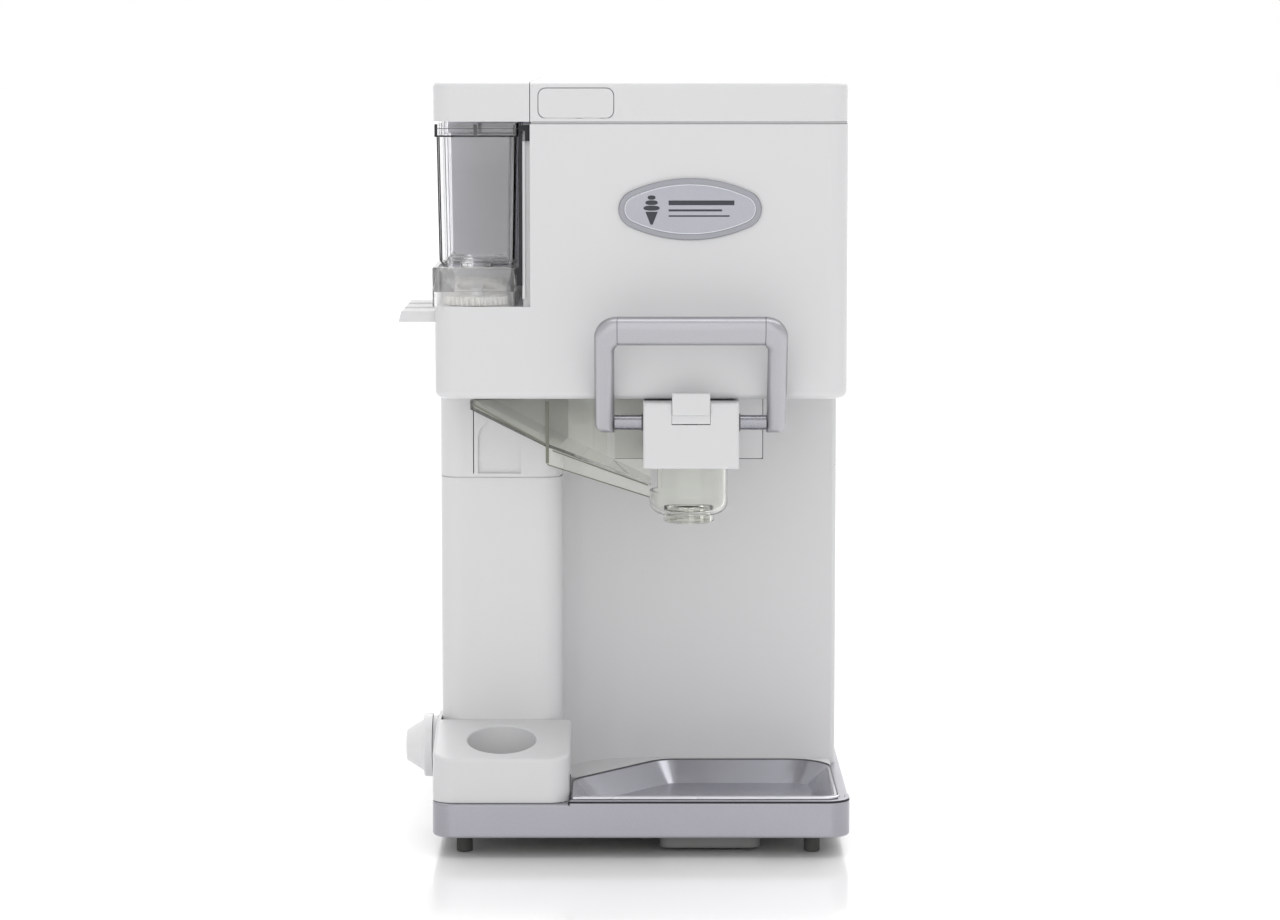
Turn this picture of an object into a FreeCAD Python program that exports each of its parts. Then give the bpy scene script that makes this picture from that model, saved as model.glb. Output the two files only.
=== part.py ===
"""Soft-serve ice cream maker for the worktop.

Millimetres, +Z up.  The model is drawn with X = 0 on the machine's middle plane, Y = 0 on the
head's front face (+Y runs to the back) and Z = 0 on the worktop.  Every solid is then moved by
one vector, so that the origin of the exported parts is the bottom centre of the machine's box.
"""
import FreeCAD, Part
import math
import os

V = FreeCAD.Vector

# ---------------------------------------------------------------- clearances and walls
GAP = 0.3                 # between curved or moving neighbours
FIT = 0.05                # radial, shafts in bushes
SLIP = 0.2                # per side, parts dropped into a pocket
WALL = 2.5                # moulded casing wall
THIN = 1.8                # clear moulded wall

# ---------------------------------------------------------------- casing
HEAD_HALF = 110.5         # half the head's width
DEPTH = 270.0             # head front to back
HEAD_BOTTOM = 248.7
HEAD_HEIGHT = 146.6
HEAD_TOP = HEAD_BOTTOM + HEAD_HEIGHT
HEAD_CORNER = 12.0
REAR_CORNER = 3.0
HEAD_EDGE = 4.0
TOWER_HALF = HEAD_HALF - 0.1
BASE_HALF = HEAD_HALF + 2.6
BASE_FRONT = -2.5
BASE_BOTTOM = 10.9
BASE_TOP = 29.4
BASE_CORNER = 13.0
SEAM_Z = 200.5            # top of the tower, foot of the collar
SEAM_GROOVE = 0.7
SCREW_R = 1.6
SCREW_HEAD_R = 3.2
SCREW_LENGTH = 10.0
SCREW_POST_R = 5.0
SCREW_SINK = 1.2          # depth of the casing screws' recesses
BASE_SCREW_X = BASE_HALF - 13.1
BASE_SCREW_YS = (140.0, DEPTH - 30.0)
BASE_SCREW_FRONT = 40.0   # the third screw on the left
REAR_SCREW_X = TOWER_HALF - 9.4
REAR_SCREWS_TOWER = (46.0, SEAM_Z - 20.5)
REAR_SCREWS_HEAD = (HEAD_BOTTOM + 13.3, HEAD_TOP - 15.3)
VENT_ZS = (70, 80, 90, 100, 110, 120, 300, 310, 320, 330)
VENT_XS = (-60, -20, 20)
VENT_LENGTH = 34.0
VENT_HEIGHT = 3.6
WIRE_WAY = (-40, 60, 150, 240)       # opening from the tower down into the base: x, x, y, y
INLET_X = 70.0
INLET_Z = 50.0
INLET_R = 6.0
INLET_BORE = 3.6

# ---------------------------------------------------------------- column and recess
COLUMN_RIGHT = -43.5
COLUMN_FRONT = 54.0
COLUMN_CORNER = 12.0
RECESS_WALL = 120.0       # front face of the wall behind the cone space
SWEEP = 43.5              # radius that joins the column to the recess wall
POCKET_LEFT = -92.2
POCKET_BACK = 110.0

# ---------------------------------------------------------------- lids
LID_LEFT = -HEAD_HALF - 0.4
LID_RIGHT = HEAD_HALF - 0.3
LID_BOTTOM = HEAD_TOP + 1.3
LID_HEIGHT = 20.9
LID_TOP = LID_BOTTOM + LID_HEIGHT
LID_BACK = DEPTH - 8.0
LID_EDGE = 3.0
BAY_RIGHT = -59.1         # bay wall, and the seam between the two lids
LID_HINGE_Y = DEPTH - 4.0
LID_HINGE_Z = LID_BOTTOM + 1.9
LID_PIN_R = 1.5
KNUCKLE_R = 3.5
KNUCKLE_W = 10.0
EAR_W = 3.0
EAR_GAP = 0.4             # each side of a knuckle
MAIN_KNUCKLES = (-30.0, 82.0)
COVER_KNUCKLE = -85.0
BUTTON_X = (-54.6, -14.6)
BUTTON_Z = (LID_BOTTOM + 1.9, LID_TOP - 3.2)
BUTTON_CORNER = 4.0
BUTTON_TRAVEL = 2.0
SPRING_RIB = 12.0         # the rib that holds the spring, behind the lid's front wall

# ---------------------------------------------------------------- condiment bay
BAY_FLOOR = 298.2
BAY_BACK = 124.0
CELL_FIRST_Y = 21.5
CELL_COUNT = 3
WHEEL_X = -88.0
WHEEL_TEETH = 34
PANEL_THICK = 1.5         # pale panel on the bay's back wall
WHEEL_WINDOW_R = 4.4
WHEEL_WINDOW_PLACE = 9.5  # radius on which the wheel's windows lie
WHEEL_Z = (298.6, 302.8)
WHEEL_PIN_R = 3.0
HOPPER_X = (-HEAD_HALF - 1.0, BAY_RIGHT - 7.6)
HOPPER_CORNER = 4.0
HOPPER_TOP = 319.2
HOPPER_WALL_TOP = 306.0
CONTAINER_X = (-HEAD_HALF + 0.5, BAY_RIGHT - 6.1)
CONTAINER_TOP = HEAD_TOP - 0.1
CONTAINER_BAND = 6.9
CONTAINER_DEPTH = 31.0
CONTAINER_TAPER = 1.2     # each side, top to bottom
CONTAINER_FOOT = 3.5      # height of the rounded-in foot
CONTAINER_TUCK = 2.5      # how far the foot draws in, each side
CONTAINER_HOLE_R = 9.0
SEAL_X = (BAY_RIGHT - 5.7, BAY_RIGHT - 4.0)
SEAL_Y = (2.0, 5.0)
DROP_HOLE_X = -78.0
DROP_HOLE_R = 6.0
LEVER_TIP = -HEAD_HALF - 19.6
LEVER_TIP_TOP = LEVER_TIP + 1.6
LEVER_Z = (289.4, 295.3)
LEVER_WIDTH = 22.0
LEVER_PIVOT_X = -HEAD_HALF + 6.5
LEVER_INNER = LEVER_PIVOT_X + 7.0
LEVER_PIN_R = 2.0
LEVER_SWING = 12.0        # degrees
LUG_INNER = LEVER_WIDTH / 2 + 1.2    # lever lugs, from the lever's middle
LUG_OUTER = LUG_INNER + 2.5
BAY_RIB_THICK = 2.0
DUCT_X = (-92.0, -62.0)
DUCT_Y = (10.5, 98.5)

# ---------------------------------------------------------------- freezer bowl and drive
BOWL_X = 26.0
BOWL_Y = 88.0
BOWL_R = 79.0
BOWL_BOTTOM = 275.5
BOWL_TOP = HEAD_TOP - 11.3
BOWL_FLANGE = 3.0
BOWL_WALL = 2.0
LINER_R = BOWL_R - 13.0   # inside radius
LINER_WALL = 1.5
LINER_FLOOR = 290.0       # inside floor
HUB_TOP = 300.0
HUB_R = 8.0
SPINDLE_R = 5.0
SPINDLE_TOP = 317.0
SPOUT_Y = 45.0
SPOUT_R = 10.0            # outside radius of the spout
SPOUT_FOOT = 232.0
CHANNEL_R = 7.0           # inside radius, down to the nozzle
PLATE_THICK = 3.0
MODULE = 1.0
SPINDLE_TEETH = 54
COUNTER_SMALL_TEETH = 20
COUNTER_LARGE_TEETH = 56
MOTOR_TEETH = 12
PINION_TEETH = 12
LOW_GEAR_Z = (253.0, 259.0)
HIGH_GEAR_Z = (260.5, 265.0)
BELT_Z = (266.5, 271.5)
PULLEY_R = 12.0
BELT_THICK = 1.5
COUNTER_R = 2.5
BUSH_WALL = 2.0
MOTOR_R = 31.0
MOTOR_LENGTH = 86.0
MOTOR_SHAFT_R = 3.0
MOTOR_BOSS_R = 8.0        # boss that passes through the head's floor
MOTOR_SCREW_REACH = 22.0
FAN_R = 24.0
FAN_LENGTH = 10.0
FAN_BLADES = 7
DRIVE_SCREW_REACH = (66.0, 58.0)     # gearbox posts, sideways and front to back from the bowl's middle
PLATE_REACH = 76.0
PLATE_Y = (8.0, 160.0)

# ---------------------------------------------------------------- dispenser
BLOCK_X = (1.1, 52.1)
BLOCK_Z = (212.6, 247.9)
BLOCK_FRONT = -13.0
BLOCK_BACK = 70.0
NOTCH_X = (16.2, 36.9)
NOTCH_Z = 236.2
LATCH_HINGE_Z = 241.5
LATCH_TOP = 253.2
LATCH_PROUD = 2.0
LATCH_HINGE_Y = BLOCK_FRONT + 1.6
LATCH_PIN = 2.5           # how far the latch's pin reaches into the block, each side
LATCH_PIN_R = 0.9
PIVOT_Y = 0.0
PIVOT_Z = 236.4
PIVOT_R = 4.0
SECTOR_TEETH = 24         # on the full circle
SECTOR_LAST = 4
RACK_WIDTH = 6.0
RACK_REAR = 7.0
GATE_FRONT = BLOCK_FRONT + 3.0
HANDLE_SWING = 55.0       # degrees, closed to open
GATE_HOLE_R = 5.5
GATE_HALF = 12.0
GATE_THICK = 3.0
CUP_R = 21.4
CUP_SHOULDER = 182.0
CUP_BOTTOM = 177.8
CUP_RING_R = 13.85
CUP_ROUND = 7.0
HANDLE_X = (-24.8, 77.5)
HANDLE_TOP_Z = 295.1
HANDLE_GRIP_Y = -26.0
ARM_WIDTH = 10.6
ARM_DEPTH = 10.0
GRIP_HEIGHT = 15.7
GRIP_SEAMS = (-12.9, 65.8)
BAR_ROUND = 4.6
FOOT_ROUND = 5.2          # lower ends of the handle's arms
BRACKET_X = (-15.0, 67.0)
BRACKET_BOTTOM = 209.7
BRACKET_THICK = 3.0

# ---------------------------------------------------------------- mix-in chute
CHUTE_LEFT = (DUCT_X[0] + 0.3, 244.4)
CHUTE_BEND = (-50.7, 223.3)
CHUTE_END = (5.2, 200.7)
CHUTE_TOP = HEAD_BOTTOM - 1.1
SKIRT_LEFT = 212.4
SKIRT_RIGHT = 192.3
CHUTE_Y_LEFT = (8.0, 108.0)
CHUTE_Y_BEND = (14.0, 96.0)
CHUTE_Y_END = (SPOUT_Y - 12.0, SPOUT_Y + 12.0)
CARRIER_CLEAR = 0.5
CARRIER_RIGHT = -12.5
ARCH_X = (-89.5, -66.0)
ARCH_PEAK_X = -78.0
ARCH_TOP = 230.5
ARCH_SHOULDER = 221.5
ARCH_DEPTH = 1.4

# ---------------------------------------------------------------- base fittings
FOOT_R = 4.4
FOOT_STEM_R = 2.5
FOOT_X = (-BASE_HALF + 16.9, BASE_HALF - 20.1)
FOOT_Y = (18.0, DEPTH - 18.0)
POD_X = (10.2, 64.7)
POD_Y = (14.0, 200.0)
POD_BOTTOM = 2.0
TRAY_LEFT = -38.0
TRAY_RIGHT = BASE_HALF - 6.1
TRAY_BACK = 112.0
TRAY_FRONT = 1.0
TRAY_RIM_TOP = 33.2
TRAY_FLOOR = 21.0
TRAY_CUT = (10.8, 51.0)   # the slanted side runs from this X at the back to this Y on the left
TRAY_CORNERS = (7.0, 9.0, 24.0, 20.0, 20.0)
TRAY_LIP = 3.0            # width of the rim outside the basin
TRAY_SLOPE_TOP = 2.2
TRAY_SLOPE_FOOT = 12.0    # how far in the flat floor starts
WELL_WALL = 2.5
APRON_GAP = 0.4           # round the tray
LEDGE_HEIGHT = 2.2        # raised edge of the base in front of the tray
LEDGE_THICK = 2.4
LEDGE_BACK = 18.0
HOLDER_RIGHT = -38.6
HOLDER_FRONT_TOP = 53.8
HOLDER_SLOPE = 13.0       # degrees
CONE_X = -76.0
CONE_Y = 27.0
CONE_R = 18.75
DIAL_Y = 75.0
DIAL_Z = 48.4
DIAL_R = 17.75
DIAL_X = (-BASE_HALF - 17.7, -BASE_HALF - 2.9)
DIAL_FLANGE = 5.0
DIAL_SHAFT_R = 3.0
SWITCH_X = (-TOWER_HALF + WALL, -TOWER_HALF + WALL + 19.9)

# ---------------------------------------------------------------- badge
BADGE_CENTRE = (26.05, HEAD_TOP - 45.05)
BADGE_HALF = (38.1, 16.45)
BADGE_TIP = 10.3          # radius of the badge's two ends
BADGE_RING = 3.0
BADGE_PROUD = 1.6

# ---------------------------------------------------------------- places that follow
CELL_PITCH = MODULE * WHEEL_TEETH    # neighbouring wheels mesh
CELL_YS = tuple(CELL_FIRST_Y + CELL_PITCH * i for i in range(CELL_COUNT))
PINION_Y = CELL_YS[-1] + MODULE * (WHEEL_TEETH + PINION_TEETH) / 2
COUNTER_Y = BOWL_Y + MODULE * (SPINDLE_TEETH + COUNTER_SMALL_TEETH) / 2
MOTOR_Y = COUNTER_Y + MODULE * (COUNTER_LARGE_TEETH + MOTOR_TEETH) / 2
PLATE_Z = (BOWL_BOTTOM - PLATE_THICK, BOWL_BOTTOM)
FLOOR_TOP = HEAD_BOTTOM + WALL
PITCH_SECTOR = MODULE * SECTOR_TEETH / 2
RACK_Z = PIVOT_Z - PITCH_SECTOR
GATE_TRAVEL = PITCH_SECTOR * math.radians(HANDLE_SWING)
GATE_TOP = RACK_Z - 1.4 * MODULE
GATE_Z = (GATE_TOP - GATE_THICK, GATE_TOP)
BASE_BACK = DEPTH + 2.5
HANDLE_RISE = HANDLE_TOP_Z - GRIP_HEIGHT / 2 - PIVOT_Z
HANDLE_LEAN = math.degrees(math.atan2(PIVOT_Y - HANDLE_GRIP_Y, HANDLE_RISE))
HANDLE_REACH = math.hypot(PIVOT_Y - HANDLE_GRIP_Y, HANDLE_RISE)
FAR = DEPTH + 200.0       # beyond the machine, for cutting boxes


# ================================================================ drawing helpers
def box(x0, x1, y0, y1, z0, z1):
    return Part.makeBox(x1 - x0, y1 - y0, z1 - z0, V(x0, y0, z0))


def rod_z(x, y, z0, z1, r):
    return Part.makeCylinder(r, z1 - z0, V(x, y, z0))


def rod_x(x0, x1, y, z, r):
    return Part.makeCylinder(r, x1 - x0, V(x0, y, z), V(1, 0, 0))


def rod_y(x, y0, y1, z, r):
    return Part.makeCylinder(r, y1 - y0, V(x, y0, z), V(0, 1, 0))


def edges_where(shape, test):
    """Edges whose every end and middle point passes the test."""
    found = []
    for edge in shape.Edges:
        first, last = edge.ParameterRange
        points = [edge.valueAt(first), edge.valueAt((first + last) / 2), edge.valueAt(last)]
        if all(test(p) for p in points):
            found.append(edge)
    return found


def edges_at_z(shape, z):
    return edges_where(shape, lambda p: abs(p.z - z) < 1e-4)


def rounded_box(x0, x1, y0, y1, z0, z1, corner, top=0.0, bottom=0.0):
    """Box with rounded upright corners and, if asked, rounded top and bottom edges."""
    body = box(x0, x1, y0, y1, z0, z1)
    upright = [e for e in body.Edges if abs(e.Vertexes[0].Z - e.Vertexes[1].Z) > 1e-4]
    body = body.makeFillet(corner, upright)
    if top:
        body = body.makeFillet(top, edges_at_z(body, z1))
    if bottom:
        body = body.makeFillet(bottom, edges_at_z(body, z0))
    return body


def slab_y(x0, x1, z0, z1, y0, y1, corner):
    """Plate facing the front, with its four corners rounded."""
    body = box(x0, x1, y0, y1, z0, z1)
    along = [e for e in body.Edges if abs(e.Vertexes[0].Y - e.Vertexes[1].Y) > 1e-4]
    return body.makeFillet(corner, along)


def outline_face(points, radii):
    """Flat face from corner points (as vectors) with each corner rounded by its own radius."""
    count = len(points)
    edges = []
    previous_end = None
    first_start = None
    for i in range(count):
        here = points[i]
        back = (points[i - 1] - here).normalize()
        ahead = (points[(i + 1) % count] - here).normalize()
        if radii[i] > 0:
            half = back.getAngle(ahead) / 2
            reach = radii[i] / math.tan(half)
            start = here + back * reach
            end = here + ahead * reach
            inward = (back + ahead).normalize()
            middle = here + inward * (radii[i] / math.sin(half) - radii[i])
            arc = Part.Arc(start, middle, end).toShape()
        else:
            start = end = here
            arc = None
        if previous_end is None:
            first_start = start
        elif (start - previous_end).Length > 1e-6:
            edges.append(Part.makeLine(previous_end, start))
        if arc:
            edges.append(arc)
        previous_end = end
    if (first_start - previous_end).Length > 1e-6:
        edges.append(Part.makeLine(previous_end, first_start))
    return Part.Face(Part.Wire(Part.__sortEdges__(edges)))


def prism_xy(points, z0, z1, radii=None):
    corners = [V(x, y, z0) for x, y in points]
    face = outline_face(corners, radii or [0] * len(points))
    return face.extrude(V(0, 0, z1 - z0))


def prism_xz(points, y0, y1, radii=None):
    corners = [V(x, y0, z) for x, z in points]
    face = outline_face(corners, radii or [0] * len(points))
    return face.extrude(V(0, y1 - y0, 0))


def prism_yz(points, x0, x1, radii=None):
    corners = [V(x0, y, z) for y, z in points]
    face = outline_face(corners, radii or [0] * len(points))
    return face.extrude(V(x1 - x0, 0, 0))


def join(first, *others):
    return first.multiFuse(list(others)).removeSplitter()


def write_parts(shapes):
    """Move every node so that the machine's bottom centre is the origin, and write its STEP file."""
    whole = Part.makeCompound(list(shapes.values())).optimalBoundingBox(False, False)
    shift = V(-(whole.XMin + whole.XMax) / 2, -(whole.YMin + whole.YMax) / 2, -whole.ZMin)
    print("shift", round(shift.x, 4), round(shift.y, 4), round(shift.z, 4))
    for name, shape in shapes.items():
        moved = shape.copy()
        moved.translate(shift)
        moved.exportStep("parts/" + name + ".step")
        print(name, "solids", len(moved.Solids), "volume", round(moved.Volume), "valid", moved.isValid())


# ================================================================ gears
def gear_disc(x, y, z0, z1, teeth, tooth_at, bore):
    """Spur gear with straight-sided teeth; one tooth is centred on the angle tooth_at (degrees)."""
    pitch_r = MODULE * teeth / 2
    tip_r = pitch_r + 0.8 * MODULE
    root_r = pitch_r - 1.2 * MODULE
    half = math.pi / (2 * teeth)
    tip_half = half * 0.42
    pitch_half = half * 0.78
    root_half = half * 1.15
    points = []
    for i in range(teeth):
        centre = math.radians(tooth_at) + 2 * math.pi * i / teeth
        for radius, turn in ((root_r, -root_half), (pitch_r, -pitch_half), (tip_r, -tip_half),
                             (tip_r, tip_half), (pitch_r, pitch_half), (root_r, root_half)):
            angle = centre + turn
            points.append((x + radius * math.cos(angle), y + radius * math.sin(angle)))
    disc = prism_xy(points, z0, z1)
    if bore:
        disc = disc.cut(rod_z(x, y, z0 - 1, z1 + 1, bore))
    return disc


def gap_angle(teeth, facing):
    """Tooth angle that puts a gap, not a tooth, on the angle facing."""
    return facing + 180.0 / teeth


# ================================================================ plan outlines
def tower_plan(inset, z0, z1):
    """Column on the left, swept by a hollow quarter circle into the wall behind the cone space."""
    left = -TOWER_HALF + inset
    right = TOWER_HALF - inset
    column_right = COLUMN_RIGHT - inset
    front = COLUMN_FRONT + inset
    wall = RECESS_WALL + inset
    corner = COLUMN_CORNER - inset
    sweep_y = RECESS_WALL - SWEEP
    sweep_x = COLUMN_RIGHT + SWEEP
    sweep_r = SWEEP + inset
    block = prism_xy([(left, front), (sweep_x, front), (sweep_x, wall), (right, wall),
                      (right, DEPTH + 1), (left, DEPTH + 1)], z0, z1,
                     [corner, 0, 0, 3.0, 0, 0])
    hollow = join(box(column_right, sweep_x + 1, COLUMN_FRONT - 5, sweep_y, z0 - 1, z1 + 1),
                  rod_z(sweep_x, sweep_y, z0 - 1, z1 + 1, sweep_r))
    hollow = hollow.cut(box(-300, column_right, 0, 300, z0 - 2, z1 + 2))
    block = block.cut(hollow)
    right_corner = edges_where(block, lambda p: abs(p.x - column_right) < 1e-4 and abs(p.y - front) < 1e-4)
    block = block.makeFillet(corner, right_corner)
    return block.common(box(-300, 300, 0, DEPTH, z0 - 1, z1 + 1))


def tray_plan(inset, z):
    """Closed wire of the drip tray: square in front, cut off on the left, rounded at the back right."""
    points = [(TRAY_LEFT, TRAY_FRONT), (TRAY_RIGHT, TRAY_FRONT), (TRAY_RIGHT, TRAY_BACK),
              (TRAY_CUT[0], TRAY_BACK), (TRAY_LEFT, TRAY_CUT[1])]
    face = outline_face([V(x, y, z) for x, y in points], TRAY_CORNERS)
    wire = face.OuterWire
    if inset:
        wire = wire.makeOffset2D(-inset)
    return wire


def tray_solid(inset, z0, z1):
    return Part.Face(tray_plan(inset, z0)).extrude(V(0, 0, z1 - z0))


# ================================================================ base
def base_shell():
    outer = rounded_box(-BASE_HALF, BASE_HALF, BASE_FRONT, BASE_BACK, BASE_BOTTOM, BASE_TOP,
                        BASE_CORNER, top=1.2, bottom=1.5)
    inner = rounded_box(-BASE_HALF + WALL, BASE_HALF - WALL, BASE_FRONT + WALL, BASE_BACK - WALL,
                        BASE_BOTTOM - 1, BASE_TOP - WALL, BASE_CORNER - WALL)
    shell = outer.cut(inner)
    well = tray_solid(TRAY_LIP - WELL_WALL, TRAY_FLOOR - 3.3, BASE_TOP - 1)
    shell = join(shell, well)
    shell = shell.cut(tray_solid(TRAY_LIP - GAP, TRAY_FLOOR - 1.3, BASE_TOP + 1))
    shell = join(shell, base_ledge())
    wire_way = box(*WIRE_WAY, BASE_TOP - WALL - 1, BASE_TOP + 1)
    shell = shell.cut(wire_way)
    for x, y in base_screw_places():
        post = rod_z(x, y, BASE_BOTTOM + WALL, BASE_TOP - WALL, SCREW_POST_R)
        shell = join(shell, post)
        shell = shell.cut(rod_z(x, y, BASE_BOTTOM, BASE_TOP - WALL - 1, SCREW_R + FIT))
    return shell


def base_ledge():
    """Raised edge along the base's front and round its right corner, in front of the tray."""
    low = BASE_TOP - 1.5
    high = BASE_TOP + LEDGE_HEIGHT
    outer = rounded_box(-BASE_HALF, BASE_HALF, BASE_FRONT, BASE_BACK, low, high, BASE_CORNER, top=0.8)
    inner = rounded_box(-BASE_HALF + LEDGE_THICK, BASE_HALF - LEDGE_THICK, BASE_FRONT + LEDGE_THICK,
                        BASE_BACK - LEDGE_THICK, low - 1, high + 1, BASE_CORNER - LEDGE_THICK)
    return outer.cut(inner).common(box(HOLDER_RIGHT + 0.2, BASE_HALF + 1, BASE_FRONT - 1, LEDGE_BACK, low, high + 1))


def base_screw_places():
    places = [(x, y) for x in (-BASE_SCREW_X, BASE_SCREW_X) for y in BASE_SCREW_YS]
    return places + [(-BASE_SCREW_X, BASE_SCREW_FRONT)]


def bottom_cover():
    side = BASE_HALF - WALL - SLIP
    plate = rounded_box(-side, side, BASE_FRONT + WALL + SLIP, BASE_BACK - WALL - SLIP,
                        BASE_BOTTOM, BASE_BOTTOM + WALL, BASE_CORNER - WALL)
    pod = rounded_box(POD_X[0], POD_X[1], POD_Y[0], POD_Y[1], POD_BOTTOM, BASE_BOTTOM, 5.0, bottom=1.5)
    hollow = rounded_box(POD_X[0] + WALL, POD_X[1] - WALL, POD_Y[0] + WALL, POD_Y[1] - WALL,
                         POD_BOTTOM + WALL, BASE_BOTTOM + WALL + 1, 3.0)
    plate = join(plate, pod).cut(hollow)
    for x in FOOT_X:
        for y in FOOT_Y:
            plate = plate.cut(rod_z(x, y, BASE_BOTTOM - 1, BASE_BOTTOM + WALL + 1, FOOT_STEM_R + FIT))
    for x, y in base_screw_places():
        plate = plate.cut(rod_z(x, y, BASE_BOTTOM - 1, BASE_BOTTOM + WALL + 1, SCREW_R + FIT))
        plate = plate.cut(rod_z(x, y, BASE_BOTTOM - 1, BASE_BOTTOM + SCREW_SINK, SCREW_HEAD_R + SLIP))
    return plate


def feet():
    solids = []
    for x in FOOT_X:
        for y in FOOT_Y:
            pad = rod_z(x, y, 0, BASE_BOTTOM, FOOT_R)
            pad = pad.makeChamfer(0.6, edges_at_z(pad, 0))
            solids.append(join(pad, rod_z(x, y, BASE_BOTTOM, BASE_BOTTOM + WALL, FOOT_STEM_R)))
    return Part.makeCompound(solids)


# ================================================================ tower and rear
def seam_groove(inset):
    """Cut that leaves a fine groove at the seam between tower and collar, all round but in the recess."""
    height = SEAM_GROOVE
    ring = tower_plan(-1.0, SEAM_Z, SEAM_Z + height).cut(tower_plan(inset, SEAM_Z - 1, SEAM_Z + height + 1))
    recess = box(COLUMN_RIGHT, TOWER_HALF - 1.0, 0, DEPTH / 2, SEAM_Z - 1, SEAM_Z + height + 1)
    return ring.cut(recess)


def rear_posts(z_values, half):
    posts = []
    for z in z_values:
        for side in (-1, 1):
            x0 = side * half
            x1 = side * (half - 14)
            posts.append(box(min(x0, x1), max(x0, x1), DEPTH - WALL - 12, DEPTH - WALL, z - 6, z + 6))
    return posts


def drill_posts(shape, z_values):
    for z in z_values:
        for x in (-REAR_SCREW_X, REAR_SCREW_X):
            shape = shape.cut(rod_y(x, DEPTH - SCREW_LENGTH - WALL, DEPTH, z, SCREW_R + FIT))
    return shape


def tray_apron():
    """Low white shelf that fills the base between the tray and the foot of the recess wall."""
    shelf = box(COLUMN_RIGHT - 1.0, TRAY_RIGHT, COLUMN_FRONT + 6.0, RECESS_WALL + 1.0, BASE_TOP, TRAY_RIM_TOP - 0.6)
    return shelf.cut(tray_solid(-APRON_GAP, BASE_TOP - 1, TRAY_RIM_TOP + 1))


def tower_shell():
    shell = tower_plan(0, BASE_TOP, SEAM_Z).cut(tower_plan(WALL, BASE_TOP + WALL, SEAM_Z + 1))
    shell = join(shell, tray_apron())
    shell = shell.cut(box(*WIRE_WAY, BASE_TOP - 1, BASE_TOP + WALL + 1))
    shell = join(shell, *rear_posts(REAR_SCREWS_TOWER, TOWER_HALF - WALL / 2))
    shell = drill_posts(shell, REAR_SCREWS_TOWER)
    shell = shell.cut(rod_x(-TOWER_HALF - 1, -TOWER_HALF + WALL + 1, DIAL_Y, DIAL_Z, DIAL_SHAFT_R + GAP))
    return shell.cut(seam_groove(SEAM_GROOVE))


def tower_collar():
    ring = tower_plan(0, SEAM_Z, HEAD_BOTTOM).cut(tower_plan(WALL, SEAM_Z - 1, HEAD_BOTTOM + 1))
    pocket = box(POCKET_LEFT, COLUMN_RIGHT + 30, COLUMN_FRONT - 5, POCKET_BACK, SEAM_Z - 1, HEAD_BOTTOM + 1)
    lining_left = box(POCKET_LEFT - WALL, POCKET_LEFT, COLUMN_FRONT, POCKET_BACK + WALL, SEAM_Z, HEAD_BOTTOM)
    lining_back = box(POCKET_LEFT - WALL, -12.0, POCKET_BACK, POCKET_BACK + WALL, SEAM_Z, HEAD_BOTTOM)
    lining_floor = box(POCKET_LEFT - WALL, 0, COLUMN_FRONT, POCKET_BACK + WALL, SEAM_Z, SEAM_Z + WALL)
    lining = join(lining_left, lining_back, lining_floor).common(tower_plan(0, SEAM_Z, HEAD_BOTTOM))
    ring = ring.cut(pocket.cut(box(-300, 300, 0, 300, SEAM_Z - 2, SEAM_Z)))
    return join(ring, lining).cut(seam_groove(SEAM_GROOVE))


def rear_cover():
    half = TOWER_HALF - WALL - SLIP
    plate = slab_y(-half, half, BASE_TOP + WALL + SLIP, HEAD_TOP - WALL, DEPTH - WALL, DEPTH, 3.0)
    for z in VENT_ZS:
        for x in VENT_XS:
            slot = slab_y(x, x + VENT_LENGTH, z, z + VENT_HEIGHT, DEPTH - WALL - 1, DEPTH + 1, VENT_HEIGHT / 2 - 0.1)
            plate = plate.cut(slot)
    for z in REAR_SCREWS_TOWER + REAR_SCREWS_HEAD:
        for x in (-REAR_SCREW_X, REAR_SCREW_X):
            plate = plate.cut(rod_y(x, DEPTH - WALL - 1, DEPTH + 1, z, SCREW_R + FIT))
            plate = plate.cut(rod_y(x, DEPTH - SCREW_SINK, DEPTH + 1, z, SCREW_HEAD_R + SLIP))
    return plate.cut(rod_y(INLET_X, DEPTH - WALL - 1, DEPTH + 1, INLET_Z, INLET_R + FIT))


def cord_inlet():
    """Empty grommet in the rear cover, where a lead would enter."""
    flange = rod_y(INLET_X, DEPTH, DEPTH + 2.0, INLET_Z, INLET_R + 3)
    neck = rod_y(INLET_X, DEPTH - WALL, DEPTH, INLET_Z, INLET_R)
    inner_flange = rod_y(INLET_X, DEPTH - WALL - 2.0, DEPTH - WALL, INLET_Z, INLET_R + 2)
    bore = rod_y(INLET_X, DEPTH - 10, DEPTH + 5, INLET_Z, INLET_BORE)
    return join(flange, neck, inner_flange).cut(bore)


def screw(place, direction):
    """Round-headed screw; place is the seat under its head and direction points along its shank."""
    shank = Part.makeCylinder(SCREW_R, SCREW_LENGTH, place, direction)
    head = Part.makeCylinder(SCREW_HEAD_R, 1.0, place - direction, direction)
    return join(shank, head)


def case_screws():
    screws = []
    for z in REAR_SCREWS_TOWER + REAR_SCREWS_HEAD:
        for x in (-REAR_SCREW_X, REAR_SCREW_X):
            screws.append(screw(V(x, DEPTH - SCREW_SINK, z), V(0, -1, 0)))
    for x, y in base_screw_places():
        screws.append(screw(V(x, y, BASE_BOTTOM + SCREW_SINK), V(0, 0, 1)))
    return Part.makeCompound(screws)


# ================================================================ head
def head_box(inset, z0, z1):
    half = HEAD_HALF - inset
    front = HEAD_CORNER - inset
    back = max(REAR_CORNER - inset, 0.5)
    body = prism_xy([(-half, inset), (half, inset), (half, DEPTH - inset), (-half, DEPTH - inset)], z0, z1,
                    [front, front, back, back])
    return body.makeFillet(max(HEAD_EDGE - inset, 0.4), edges_at_z(body, z0))


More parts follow.
